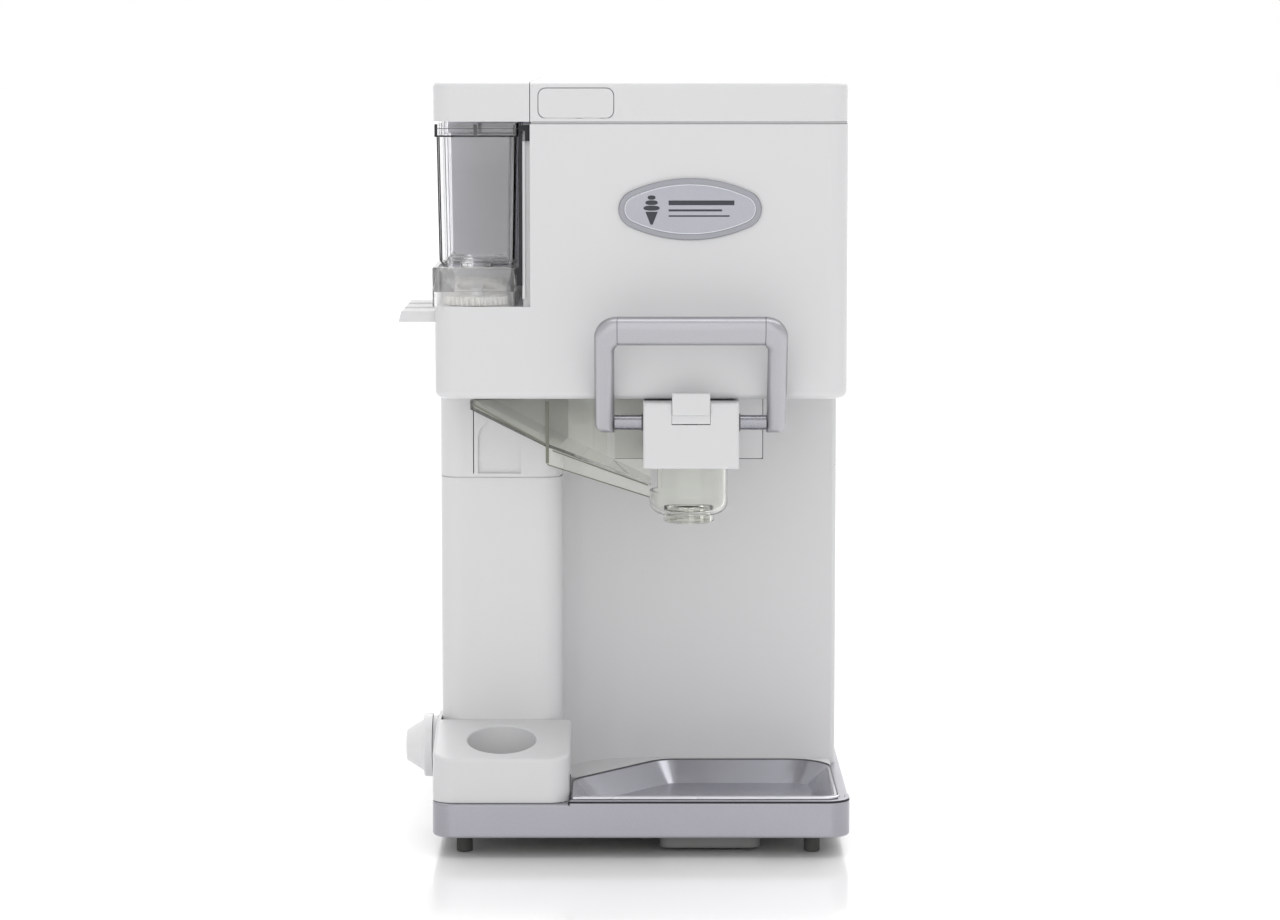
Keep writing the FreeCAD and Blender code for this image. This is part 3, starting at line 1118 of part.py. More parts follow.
def drive_belt():
    inside = PULLEY_R - BELT_THICK + FIT
    return belt_loop(inside + BELT_THICK, *BELT_Z).cut(belt_loop(inside, BELT_Z[0] - 1, BELT_Z[1] + 1))


def motor_can():
    top = HEAD_BOTTOM
    can = rod_z(BOWL_X, MOTOR_Y, top - MOTOR_LENGTH, top, MOTOR_R)
    can = can.makeFillet(4.0, edges_at_z(can, top - MOTOR_LENGTH))
    boss = rod_z(BOWL_X, MOTOR_Y, top, top + WALL, MOTOR_BOSS_R)
    can = join(can, boss).cut(rod_z(BOWL_X, MOTOR_Y, top - MOTOR_LENGTH - 1, top + WALL + 1, MOTOR_SHAFT_R + FIT))
    for x, y in motor_screw_places():
        can = can.cut(rod_z(x, y, top - SCREW_LENGTH, top + 1, SCREW_R + FIT))
    return can


def motor_shaft():
    foot = HEAD_BOTTOM - MOTOR_LENGTH - FAN_LENGTH - 4.0
    shaft = rod_z(BOWL_X, MOTOR_Y, foot, HIGH_GEAR_Z[1], MOTOR_SHAFT_R)
    pinion = gear_disc(BOWL_X, MOTOR_Y, HIGH_GEAR_Z[0], HIGH_GEAR_Z[1], MOTOR_TEETH,
                       gap_angle(MOTOR_TEETH, 270.0), 0)
    return join(shaft, pinion)


def cooling_fan():
    top = HEAD_BOTTOM - MOTOR_LENGTH - 3.0
    hub = rod_z(BOWL_X, MOTOR_Y, top - FAN_LENGTH, top, 7.0)
    blades = []
    for k in range(FAN_BLADES):
        blade = box(5.0, FAN_R, -0.8, 0.8, -FAN_LENGTH / 2, FAN_LENGTH / 2)
        blade.rotate(V(0, 0, 0), V(1, 0, 0), 35)
        blade = blade.common(box(0, 50, -20, 20, -FAN_LENGTH / 2, FAN_LENGTH / 2))
        blade.rotate(V(0, 0, 0), V(0, 0, 1), 360.0 / FAN_BLADES * k)
        blade.translate(V(BOWL_X, MOTOR_Y, top - FAN_LENGTH / 2))
        blades.append(blade)
    return join(hub, *blades).cut(rod_z(BOWL_X, MOTOR_Y, top - FAN_LENGTH - 1, top + 1, MOTOR_SHAFT_R + 0.02))


def drive_screws():
    screws = [screw(V(x, y, PLATE_Z[1] - 1.4), V(0, 0, -1)) for x, y in drive_screw_places()]
    screws += [screw(V(x, y, FLOOR_TOP), V(0, 0, -1)) for x, y in motor_screw_places()]
    return Part.makeCompound(screws)


# ================================================================ dispenser
def dispenser_block():
    """White block under the head: spout socket, gate slot, chamber for the toothed sector."""
    x0, x1 = BLOCK_X
    body = box(x0, x1, BLOCK_FRONT, BLOCK_BACK, BLOCK_Z[0], BLOCK_Z[1])
    front = edges_where(body, lambda p: abs(p.y - BLOCK_FRONT) < 1e-4)
    body = body.makeFillet(1.6, front)
    body = body.cut(box(NOTCH_X[0], NOTCH_X[1], BLOCK_FRONT - 1, BLOCK_FRONT + 4.4, NOTCH_Z, BLOCK_Z[1] + 1))
    body = body.cut(rod_z(BOWL_X, SPOUT_Y, SPOUT_FOOT, BLOCK_Z[1] + 1, SPOUT_R + SLIP))
    body = body.cut(rod_z(BOWL_X, SPOUT_Y, BLOCK_Z[0] - 1, BLOCK_Z[1], GATE_HOLE_R))
    body = body.cut(box(BOWL_X - GATE_HALF - SLIP, BOWL_X + GATE_HALF + SLIP, GATE_FRONT - 1.0, BLOCK_BACK - 2.0,
                        GATE_Z[0] - 0.1, GATE_Z[1] + 0.1))
    sector_r = PITCH_SECTOR + 1.2 * MODULE
    side = RACK_WIDTH / 2 + 1.0
    chamber = rod_x(BOWL_X - side, BOWL_X + side, PIVOT_Y, PIVOT_Z, sector_r)
    chamber = chamber.common(box(x0, x1, BLOCK_FRONT + 1.4, SPOUT_Y, BLOCK_Z[0], PIVOT_Z + PIVOT_R + 1.0))
    rack_way = box(BOWL_X - side, BOWL_X + side, BLOCK_FRONT + 2.0, RACK_REAR + GATE_TRAVEL + 1.0,
                   GATE_Z[0], RACK_Z + 1.2)
    body = body.cut(chamber).cut(rack_way)
    body = body.cut(rod_x(x0 - 1, x1 + 1, PIVOT_Y, PIVOT_Z, PIVOT_R + FIT))
    latch_bore = rod_x(NOTCH_X[0] - LATCH_PIN, NOTCH_X[1] + LATCH_PIN, LATCH_HINGE_Y, LATCH_HINGE_Z,
                       LATCH_PIN_R + FIT)
    return body.cut(latch_bore)


def valve_gate():
    """Sliding gate: plate with the flow hole, and a rack on top that the sector drives."""
    hole_y = SPOUT_Y - GATE_TRAVEL
    rear = SPOUT_Y + GATE_HOLE_R + 2.0
    plate = box(BOWL_X - GATE_HALF, BOWL_X + GATE_HALF, GATE_FRONT, rear, GATE_Z[0], GATE_Z[1])
    plate = plate.cut(rod_z(BOWL_X, hole_y, GATE_Z[0] - 1, GATE_Z[1] + 1, GATE_HOLE_R))
    teeth = []
    pitch = math.pi * MODULE
    reach = int((PIVOT_Y - GATE_FRONT) / pitch) + 2
    for k in range(-reach, reach):
        y = PIVOT_Y + pitch * (k + 0.5)
        if y - 1.2 < GATE_FRONT or y + 1.2 > RACK_REAR:
            continue
        teeth.append(prism_yz([(y - 0.95, GATE_Z[1]), (y - 0.28, RACK_Z + 0.75), (y + 0.28, RACK_Z + 0.75),
                               (y + 0.95, GATE_Z[1])], BOWL_X - RACK_WIDTH / 2, BOWL_X + RACK_WIDTH / 2))
    return join(plate, *teeth)


def valve_shaft():
    """Cross shaft through the block with the toothed sector that drives the gate."""
    shaft = rod_x(HANDLE_X[0] + ARM_WIDTH, HANDLE_X[1] - ARM_WIDTH, PIVOT_Y, PIVOT_Z, PIVOT_R)
    outline = []
    half = math.pi / (2 * SECTOR_TEETH)
    tip_r, root_r = PITCH_SECTOR + 0.75, PITCH_SECTOR - 1.1
    step = 2 * math.pi / SECTOR_TEETH
    for i in range(-1, SECTOR_LAST):
        centre = -math.pi / 2 - i * step
        for radius, turn in ((root_r, half * 1.15), (PITCH_SECTOR, half * 0.74), (tip_r, half * 0.40),
                             (tip_r, -half * 0.40), (PITCH_SECTOR, -half * 0.74), (root_r, -half * 1.15)):
            angle = centre + turn
            outline.append((PIVOT_Y + radius * math.cos(angle), PIVOT_Z + radius * math.sin(angle)))
    outline.append((PIVOT_Y, PIVOT_Z))
    sector = prism_yz(outline, BOWL_X - RACK_WIDTH / 2, BOWL_X + RACK_WIDTH / 2)
    return join(shaft, sector)


def release_latch():
    """Tab over the head's lower edge; its recessed lower half is pushed to let the block go."""
    x0, x1 = NOTCH_X[0] + SLIP, NOTCH_X[1] - SLIP
    front = BLOCK_FRONT - LATCH_PROUD
    upper = box(x0, x1, front, BLOCK_FRONT + 1.2, LATCH_HINGE_Z, LATCH_TOP)
    edges = edges_where(upper, lambda p: abs(p.y - front) < 1e-4)
    upper = upper.makeFillet(0.8, edges)
    lower = box(x0, x1, BLOCK_FRONT + 0.2, BLOCK_FRONT + 1.6, NOTCH_Z + 0.5, LATCH_HINGE_Z + 1.0)
    barrel = rod_x(x0, x1, LATCH_HINGE_Y, LATCH_HINGE_Z, 1.4)
    pin = rod_x(x0 - LATCH_PIN, x1 + LATCH_PIN, LATCH_HINGE_Y, LATCH_HINGE_Z, LATCH_PIN_R)
    return join(upper, lower, barrel, pin)


def nozzle_bracket():
    """White plate behind the block that hangs it from the head's floor."""
    back = BLOCK_BACK + BRACKET_THICK
    plate = slab_y(BRACKET_X[0], BRACKET_X[1], BRACKET_BOTTOM, HEAD_BOTTOM, BLOCK_BACK, back, 1.2)
    flange = box(BRACKET_X[0] + 2, BRACKET_X[1] - 2, BLOCK_BACK + BRACKET_THICK, BLOCK_BACK + 16.0,
                 HEAD_BOTTOM - BRACKET_THICK, HEAD_BOTTOM)
    return join(plate, flange)


def nozzle_cup():
    """Clear cup under the block: straight wall, rounded shoulder and a narrow ring below."""
    top = BLOCK_Z[0]
    outer = rod_z(BOWL_X, SPOUT_Y, CUP_SHOULDER, top, CUP_R)
    outer = outer.makeFillet(CUP_ROUND, edges_at_z(outer, CUP_SHOULDER))
    inner = rod_z(BOWL_X, SPOUT_Y, CUP_SHOULDER + THIN, top + 1, CUP_R - THIN)
    inner = inner.makeFillet(CUP_ROUND - 1.5, edges_at_z(inner, CUP_SHOULDER + THIN))
    ring = rod_z(BOWL_X, SPOUT_Y, CUP_BOTTOM, CUP_SHOULDER + 1.0, CUP_RING_R)
    ring = ring.makeFillet(0.8, edges_at_z(ring, CUP_BOTTOM))
    cup = join(outer, ring).cut(inner)
    cup = cup.cut(rod_z(BOWL_X, SPOUT_Y, CUP_BOTTOM - 1, CUP_SHOULDER + 5, CUP_RING_R - THIN))
    window = box(BOWL_X - CUP_R - 2, BOWL_X - 12.0, SPOUT_Y - 13, SPOUT_Y + 13, 195.0, top + 1)
    return cup.cut(window)


def star_tip():
    """Star-shaped mouth that sits inside the cup's ring."""
    ring = rod_z(BOWL_X, SPOUT_Y, CUP_BOTTOM + 0.6, CUP_SHOULDER + 1.8, CUP_RING_R - THIN - 0.02)
    flange = rod_z(BOWL_X, SPOUT_Y, CUP_SHOULDER + THIN, CUP_SHOULDER + THIN + 1.5, CUP_RING_R - GAP)
    points = []
    for k in range(12):
        radius = 9.6 if k % 2 else 5.6
        angle = math.pi * k / 6
        points.append((BOWL_X + radius * math.cos(angle), SPOUT_Y + radius * math.sin(angle)))
    star = prism_xy(points, CUP_BOTTOM - 1, CUP_SHOULDER + 6)
    return join(ring, flange).cut(star)


# ================================================================ handle
def leaned(shape):
    """From the handle's upright frame (pivot at 0) to its place, leaning forward."""
    shape.rotate(V(0, 0, 0), V(1, 0, 0), HANDLE_LEAN)
    shape.translate(V(0, PIVOT_Y, PIVOT_Z))
    return shape


def handle_frame():
    """Bail: two flat arms with round feet, and the outer ends of the crossbar."""
    x0, x1 = HANDLE_X
    top = HANDLE_REACH + GRIP_HEIGHT / 2
    foot = -ARM_WIDTH / 2
    half = ARM_DEPTH / 2
    outer = outline_face([V(x0, -half, foot), V(x1, -half, foot), V(x1, -half, top), V(x0, -half, top)],
                         [FOOT_ROUND, FOOT_ROUND, 12.0, 12.0]).extrude(V(0, ARM_DEPTH, 0))
    inner = outline_face([V(x0 + ARM_WIDTH, -half, foot - 9), V(x1 - ARM_WIDTH, -half, foot - 9),
                          V(x1 - ARM_WIDTH, -half, top - GRIP_HEIGHT), V(x0 + ARM_WIDTH, -half, top - GRIP_HEIGHT)],
                         [0, 0, 4.0, 4.0]).extrude(V(0, ARM_DEPTH, 0))
    bail = outer.cut(inner)
    long_edges = edges_where(bail, lambda p: abs(abs(p.y) - half) < 1e-4)
    bail = bail.makeFillet(BAR_ROUND, long_edges)
    middle = box(GRIP_SEAMS[0], GRIP_SEAMS[1], -20, 20, top - GRIP_HEIGHT - 2, top + 2)
    bail = bail.cut(middle)
    core = box(GRIP_SEAMS[0] - 1, GRIP_SEAMS[1] + 1, -half + 3.2, half - 3.2, top - GRIP_HEIGHT + 4.0, top - 4.0)
    return leaned(join(bail, core))


def handle_grip():
    """Sleeve on the crossbar between the two seams."""
    top = HANDLE_REACH + GRIP_HEIGHT / 2
    half = ARM_DEPTH / 2
    sleeve = box(GRIP_SEAMS[0] + 0.1, GRIP_SEAMS[1] - 0.1, -half, half, top - GRIP_HEIGHT, top)
    along = [e for e in sleeve.Edges if abs(e.Vertexes[0].X - e.Vertexes[1].X) > 1]
    sleeve = sleeve.makeFillet(BAR_ROUND, along)
    core = box(GRIP_SEAMS[0] - 1, GRIP_SEAMS[1] + 1, -half + 3.15, half - 3.15, top - GRIP_HEIGHT + 3.95, top - 3.95)
    return leaned(sleeve.cut(core))


# ================================================================ mix-in chute
def chute_plan(inset, z0, z1, open_end):
    """Plan of the chute: wide under the duct, narrowing to the nozzle cup."""
    end = CHUTE_END[0] + (5.0 if open_end else 0.0)
    points = [(CHUTE_LEFT[0] + inset, CHUTE_Y_LEFT[0] + inset), (CHUTE_BEND[0], CHUTE_Y_BEND[0] + inset),
              (end, CHUTE_Y_END[0] + inset), (end, CHUTE_Y_END[1] - inset),
              (CHUTE_BEND[0], CHUTE_Y_BEND[1] - inset), (CHUTE_LEFT[0] + inset, CHUTE_Y_LEFT[1] - inset)]
    return prism_xy(points, z0, z1)


def chute_profile(drop, x_end, top):
    """Side view above the floor line, which is lowered by drop."""
    slope = (CHUTE_END[1] - CHUTE_BEND[1]) / (CHUTE_END[0] - CHUTE_BEND[0])
    end_z = CHUTE_END[1] + slope * (x_end - CHUTE_END[0])
    return prism_xz([(CHUTE_LEFT[0], CHUTE_LEFT[1] - drop), (CHUTE_BEND[0], CHUTE_BEND[1] - drop),
                     (x_end, end_z - drop), (x_end, top), (CHUTE_LEFT[0], top)], 0, 130)


def mixin_chute():
    outer = chute_plan(0, 150, 300, False).common(chute_profile(THIN, CHUTE_END[0], CHUTE_TOP))
    inner = chute_plan(THIN, 150, 300, True).common(chute_profile(0, CHUTE_END[0] + 5, CHUTE_TOP + 2))
    trough = outer.cut(inner)
    front_wall = chute_plan(0, 150, 300, False).cut(chute_plan(THIN, 140, 310, True))
    front_wall = front_wall.common(box(CHUTE_BEND[0], CHUTE_END[0], -10, SPOUT_Y, 150, 300))
    skirt = prism_xz([(CHUTE_BEND[0], CHUTE_BEND[1]), (CHUTE_BEND[0], SKIRT_LEFT), (CHUTE_END[0], SKIRT_RIGHT),
                      (CHUTE_END[0], CHUTE_END[1])], -10, 130)
    body = join(trough, front_wall.common(skirt))
    body = body.cut(box(BLOCK_X[0] - GAP, 60, -20, 130, BLOCK_Z[0] - GAP, 300))
    body = body.cut(box(BRACKET_X[0] - GAP, 60, BLOCK_BACK - GAP, 130, 150, 300))
    cup_room = rod_z(BOWL_X, SPOUT_Y, 150, 300, CUP_R + GAP)
    return body.cut(cup_room)


def chute_carrier():
    """White carrier in the column's pocket: sloped top under the chute, arch relief in its face."""
    clear = CARRIER_CLEAR
    body = tower_plan(0, SEAM_Z + WALL, HEAD_BOTTOM).common(
        box(POCKET_LEFT + clear, 30, COLUMN_FRONT - 5, POCKET_BACK - clear, SEAM_Z + WALL, HEAD_BOTTOM))
    body = body.common(box(-120, CARRIER_RIGHT, 0, 200, 0, 400))
    rest = chute_plan(-1.0, 150, 300, False).common(chute_profile(THIN + 0.1, CHUTE_END[0], 400))
    body = body.cut(rest)
    body = body.cut(box(-120, 30, 0, 200, CHUTE_LEFT[1] - 2.0, 400))
    hollow = tower_plan(WALL, SEAM_Z, HEAD_BOTTOM).common(
        box(POCKET_LEFT + clear + WALL, CARRIER_RIGHT - WALL, 0, POCKET_BACK - clear - WALL, SEAM_Z, HEAD_BOTTOM))
    rest_wall = chute_profile(THIN + 0.1 + WALL, CHUTE_END[0] + 9, 400)
    lowered = hollow.cut(chute_plan(-9.0, 150, 300, False).common(rest_wall))
    body = body.cut(lowered.common(box(-120, 30, 0, 200, 0, CHUTE_LEFT[1] - 2.0 - WALL)))
    outline = [(ARCH_X[0], SEAM_Z), (ARCH_X[0], ARCH_TOP), (ARCH_PEAK_X, ARCH_TOP),
               (ARCH_X[1], ARCH_SHOULDER), (ARCH_X[1], SEAM_Z)]
    arch = prism_xz(outline, COLUMN_FRONT - 1, COLUMN_FRONT + ARCH_DEPTH, [0, 7.0, 9.0, 7.0, 0])
    return body.cut(arch)


# ================================================================ the whole machine
def main():
    os.makedirs("parts", exist_ok=True)
    single = (base_shell, bottom_cover, feet, tower_shell, tower_collar, rear_cover, cord_inlet, case_screws,
             head_housing, bay_back_panel, bay_seal, metering_base, drop_duct, main_lid, condiment_cover, lid_pins,
             lid_button, button_spring, cone_holder, dial_bezel, dial, dial_switch, drip_tray, badge_frame,
             badge_plate, bowl_shell, bowl_liner, bowl_gel, spindle_seal, paddle, gearbox_plate, bushes,
             spindle_gear, countershaft, condiment_pinion, drive_belt, motor_can, motor_shaft, cooling_fan,
             drive_screws, dispenser_block, valve_gate, valve_shaft, release_latch, nozzle_bracket, nozzle_cup,
             star_tip, handle_frame, handle_grip, mixin_chute, chute_carrier)
    shapes = {make.__name__: make() for make in single}
    for i, y in enumerate(CELL_YS):
        number = str(i + 1)
        tooth_at = 90.0 if i % 2 else gap_angle(WHEEL_TEETH, 90.0)
        shapes["container_" + number] = container(y)
        shapes["metering_wheel_" + number] = metering_wheel(y, tooth_at)
        shapes["lever_" + number] = lever(y)
    write_parts(shapes)


main()
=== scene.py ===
import math

import bpy
import mathutils
import numpy as np
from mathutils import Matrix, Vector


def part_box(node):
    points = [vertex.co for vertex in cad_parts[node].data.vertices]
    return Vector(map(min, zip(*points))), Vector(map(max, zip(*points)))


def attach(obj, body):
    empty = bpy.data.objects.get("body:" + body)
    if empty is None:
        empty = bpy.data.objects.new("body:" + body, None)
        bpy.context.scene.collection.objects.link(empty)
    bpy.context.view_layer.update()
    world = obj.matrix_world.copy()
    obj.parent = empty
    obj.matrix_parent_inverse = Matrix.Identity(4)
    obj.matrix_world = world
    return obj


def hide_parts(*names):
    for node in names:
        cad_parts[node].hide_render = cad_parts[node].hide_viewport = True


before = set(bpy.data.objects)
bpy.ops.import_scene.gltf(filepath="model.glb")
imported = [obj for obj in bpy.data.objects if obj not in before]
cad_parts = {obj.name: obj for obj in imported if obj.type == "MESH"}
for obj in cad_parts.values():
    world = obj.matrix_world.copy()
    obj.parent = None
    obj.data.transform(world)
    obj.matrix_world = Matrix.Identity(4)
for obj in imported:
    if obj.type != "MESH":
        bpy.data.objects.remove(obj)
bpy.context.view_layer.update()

# The looks of a worktop soft-serve machine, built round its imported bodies. Everything is in metres. As one
# faces the machine, X runs from its containers at the left to the right, Y from the front to the back, and
# Z up from the worktop.

MM = 0.001

# The camera stands in front of the head, a little above its top, and is tipped down a little.
CAMERA_DISTANCE = 2.100          # from the head's front face
CAMERA_HEIGHT = 0.4406
CAMERA_SIDE = -0.0006            # from the middle of the head, seen from above
CAMERA_TIP = math.radians(6.1)
CAMERA_LENS = 111.0
CAMERA_SENSOR = 36.0

FLOOR_SIZE = 60.0
ROOM_LIGHT = 0.74                # brightness of the room as the object sees it
HORIZON_LIGHT = 1.15             # the back of the room, which the floor mirrors
TOP_LIGHT = 2.2
FRONT_LIGHT = 0.80

# Sizes of the case, which the added gaps, beads and rings follow.
BASE_CORNER = 13.0 * MM
HEAD_CORNER = 12.0 * MM
HOLDER_CORNER = 12.0 * MM
TRAY_CORNER = 8.0 * MM
LID_HEIGHT = 20.9 * MM
LID_GAP = 1.3 * MM               # from the head's outer face in to the grey strip painted as the lid gap's shade
GAP_SHADE_DEPTH = 0.35 * MM         # from the head's outer face in to the gasket's
SHAFT_R = 4.0 * MM               # the handle's cross shaft, which lies in the plane of the head's front face
SHAFT_HEIGHT = 236.4 * MM

NEAR_BLACK = (0.01, 0.01, 0.012, 1.0)                # what shaded paint is darkened towards


# ---------------------------------------------------------------- colours and shader parts

def colour(red, green, blue):
    """A display colour, 0 to 255 a channel, as the linear colour with alpha that a shader takes."""
    display = np.array([red, green, blue]) / 255.0
    linear = np.where(display <= 0.04045, display / 12.92, ((display + 0.055) / 1.055) ** 2.4)
    return (*linear.tolist(), 1.0)


def start_material(name):
    """A new node material, with its tree and its one surface shader."""
    material = bpy.data.materials.new(name)
    material.use_nodes = True
    return material, material.node_tree, material.node_tree.nodes["Principled BSDF"]


def noise(tree, scale, detail=2.0, stretch=(1.0, 1.0, 1.0)):
    """Noise in the piece's own coordinates, in metres, stretched along its axes, as a value near one
    half."""
    place = tree.nodes.new("ShaderNodeTexCoord")
    shape = tree.nodes.new("ShaderNodeMapping")
    shape.inputs["Scale"].default_value = stretch
    field = tree.nodes.new("ShaderNodeTexNoise")
    field.inputs["Scale"].default_value = scale
    field.inputs["Detail"].default_value = detail
    tree.links.new(place.outputs["Object"], shape.inputs["Vector"])
    tree.links.new(shape.outputs["Vector"], field.inputs["Vector"])
    return field.outputs["Fac"]


def spread(tree, value, low, high):
    """A value near one half spread out: 0.3 becomes low, 0.7 becomes high, and the rest follows in line."""
    change = tree.nodes.new("ShaderNodeMapRange")
    change.inputs["From Min"].default_value = 0.3
    change.inputs["From Max"].default_value = 0.7
    change.inputs["To Min"].default_value = low
    change.inputs["To Max"].default_value = high
    change.clamp = False
    tree.links.new(value, change.inputs["Value"])
    return change.outputs["Result"]


def tint(tree, shader, base, share, value):
    """The base colour, lighter and darker by a share where the value is high and low."""
    mix = tree.nodes.new("ShaderNodeMix")
    mix.data_type = "RGBA"
    mix.inputs[6].default_value = (*[c * (1.0 - share) for c in base[:3]], 1.0)
    mix.inputs[7].default_value = (*[min(1.0, c * (1.0 + share)) for c in base[:3]], 1.0)
    tree.links.new(value, mix.inputs[0])
    tree.links.new(mix.outputs[2], shader.inputs["Base Color"])


def relief(tree, shader, value, height, before=None):
    """Raises the surface by a height in metres where the value is one, over any relief given before."""
    bump = tree.nodes.new("ShaderNodeBump")
    bump.inputs["Strength"].default_value = 1.0
    bump.inputs["Distance"].default_value = height
    tree.links.new(value, bump.inputs["Height"])
    if before is not None:
        tree.links.new(before, bump.inputs["Normal"])
    tree.links.new(bump.outputs["Normal"], shader.inputs["Normal"])
    return bump.outputs["Normal"]


# ---------------------------------------------------------------- finishes

def moulded(name, base, roughness):
    """A moulded plastic: a barely uneven gloss, and the fine orange peel of a steel mould, in which small
    ripples lie over broad ones."""
    material, tree, shader = start_material(name)
    shader.inputs["Base Color"].default_value = base
    gloss = spread(tree, noise(tree, 24.0, 1.0), roughness - 0.004, roughness + 0.004)
    tree.links.new(gloss, shader.inputs["Roughness"])
    peel = relief(tree, shader, noise(tree, 420.0, 2.0), 0.004 * MM)
    relief(tree, shader, noise(tree, 2600.0, 1.0), 0.0012 * MM, peel)
    shader.inputs["IOR"].default_value = 1.46
    return material


def flaked_paint(name, base, roughness=0.36, metal=0.55):
    """A satin silver paint: metal flakes a fifth of a millimetre across, each a little lighter or
    darker."""
    material, tree, shader = start_material(name)
    place = tree.nodes.new("ShaderNodeTexCoord")
    flakes = tree.nodes.new("ShaderNodeTexVoronoi")
    flakes.inputs["Scale"].default_value = 4500.0
    split = tree.nodes.new("ShaderNodeSeparateColor")
    tree.links.new(place.outputs["Object"], flakes.inputs["Vector"])
    tree.links.new(flakes.outputs["Color"], split.inputs["Color"])
    tint(tree, shader, base, 0.045, split.outputs["Red"])
    gloss = spread(tree, noise(tree, 30.0, 1.0), roughness - 0.03, roughness + 0.03)
    tree.links.new(gloss, shader.inputs["Roughness"])
    relief(tree, shader, noise(tree, 1400.0, 2.0), 0.003 * MM)
    shader.inputs["Metallic"].default_value = metal
    shader.inputs["Coat Weight"].default_value = 0.3
    shader.inputs["Coat Roughness"].default_value = 0.18
    return material


def brushed(name, base, roughness):
    """A smooth lacquer over a drawn sheet: lines along X, faint scratches, and worn patches."""
    material, tree, shader = start_material(name)
    lines = noise(tree, 900.0, 3.0, (0.06, 1.0, 1.0))
    tint(tree, shader, base, 0.07, lines)
    wear = spread(tree, noise(tree, 34.0, 2.0), roughness - 0.012, roughness + 0.012)
    tree.links.new(wear, shader.inputs["Roughness"])
    relief(tree, shader, noise(tree, 1300.0, 3.0, (0.05, 1.0, 1.0)), 0.004 * MM)
    shader.inputs["Metallic"].default_value = 0.75
    shader.inputs["Coat Weight"].default_value = 0.6
    shader.inputs["Coat Roughness"].default_value = 0.05
    return material


def clear(name, base, roughness=0.02, grain=0.004, frost=0.0, bend=1.49, milk=0.0):
    """A clear moulded plastic: light bends through its walls, which are a little wavy. Frost dulls it and
    milk clouds it. Lamps shine through it, so what it covers stays lit."""
    material, tree, shader = start_material(name)
    shader.inputs["Base Color"].default_value = base
    shader.inputs["Transmission Weight"].default_value = 1.0 - milk
    shader.inputs["IOR"].default_value = bend
    smear = spread(tree, noise(tree, 38.0, 3.0), roughness, roughness + 0.03 + frost)
    tree.links.new(smear, shader.inputs["Roughness"])
    wave = relief(tree, shader, noise(tree, 70.0, 1.0), grain * MM)
    if frost:
        relief(tree, shader, noise(tree, 1500.0, 3.0), 0.01 * MM, wave)
    path = tree.nodes.new("ShaderNodeLightPath")
    open_way = tree.nodes.new("ShaderNodeBsdfTransparent")
    open_way.inputs["Color"].default_value = base
    choice = tree.nodes.new("ShaderNodeMixShader")
    tree.links.new(path.outputs["Is Shadow Ray"], choice.inputs[0])
    tree.links.new(shader.outputs[0], choice.inputs[1])
    tree.links.new(open_way.outputs[0], choice.inputs[2])
    tree.links.new(choice.outputs[0], tree.nodes["Material Output"].inputs["Surface"])
    return material


def textured(name, base, roughness, grain=0.05):
    """A dull plastic or rubber from a spark-worn mould: fine pits, and tone and gloss that drift. The grain
    is the depth of the pits in millimetres."""
    material, tree, shader = start_material(name)
    tint(tree, shader, base, 0.08, noise(tree, 25.0, 4.0))
    gloss = spread(tree, noise(tree, 80.0, 4.0), roughness - 0.08, roughness + 0.08)
    tree.links.new(gloss, shader.inputs["Roughness"])
    relief(tree, shader, noise(tree, 1400.0, 4.0), grain * MM)
    return material


def bare_metal(name, base, roughness, stretch=(1.0, 1.0, 1.0)):
    """A bare metal: fine lines from the tool, and dull and bright patches. The larger its stretch along an
    axis, the closer the lines lie along it."""
    material, tree, shader = start_material(name)
    tint(tree, shader, base, 0.06, noise(tree, 40.0, 4.0))
    gloss = spread(tree, noise(tree, 300.0, 3.0, stretch), roughness - 0.08, roughness + 0.10)
    tree.links.new(gloss, shader.inputs["Roughness"])
    relief(tree, shader, noise(tree, 1500.0, 2.0, stretch), 0.006 * MM)
    shader.inputs["Metallic"].default_value = 1.0
    return material


def darken(material, mask, share):
    """Makes the base colour darker by a share where the mask is one, over what the finish has already."""
    tree = material.node_tree
    shader = tree.nodes["Principled BSDF"]
    before = shader.inputs["Base Color"].links[0].from_socket
    amount = tree.nodes.new("ShaderNodeMapRange")
    amount.inputs["To Min"].default_value = 0.0
    amount.inputs["To Max"].default_value = share
    mix = tree.nodes.new("ShaderNodeMix")
    mix.data_type = "RGBA"
    mix.inputs[7].default_value = NEAR_BLACK
    tree.links.new(mask, amount.inputs["Value"])
    tree.links.new(amount.outputs["Result"], mix.inputs[0])
    tree.links.new(before, mix.inputs[6])
    tree.links.new(mix.outputs[2], shader.inputs["Base Color"])


def side_shade_mask(material):
    """One where a face turns away from the front and the back, zero where it faces them: the mask of the
    painted shade on the handle's sides.
    """
    tree = material.node_tree
    place = tree.nodes.new("ShaderNodeTexCoord")
    axes = tree.nodes.new("ShaderNodeSeparateXYZ")
    size = tree.nodes.new("ShaderNodeMath")
    size.operation = "ABSOLUTE"
    fade = tree.nodes.new("ShaderNodeMapRange")
    fade.inputs["From Min"].default_value = 0.62
    fade.inputs["From Max"].default_value = 0.30
    tree.links.new(place.outputs["Normal"], axes.inputs["Vector"])
    tree.links.new(axes.outputs["Y"], size.inputs[0])
    tree.links.new(size.outputs[0], fade.inputs["Value"])
    return fade.outputs["Result"]


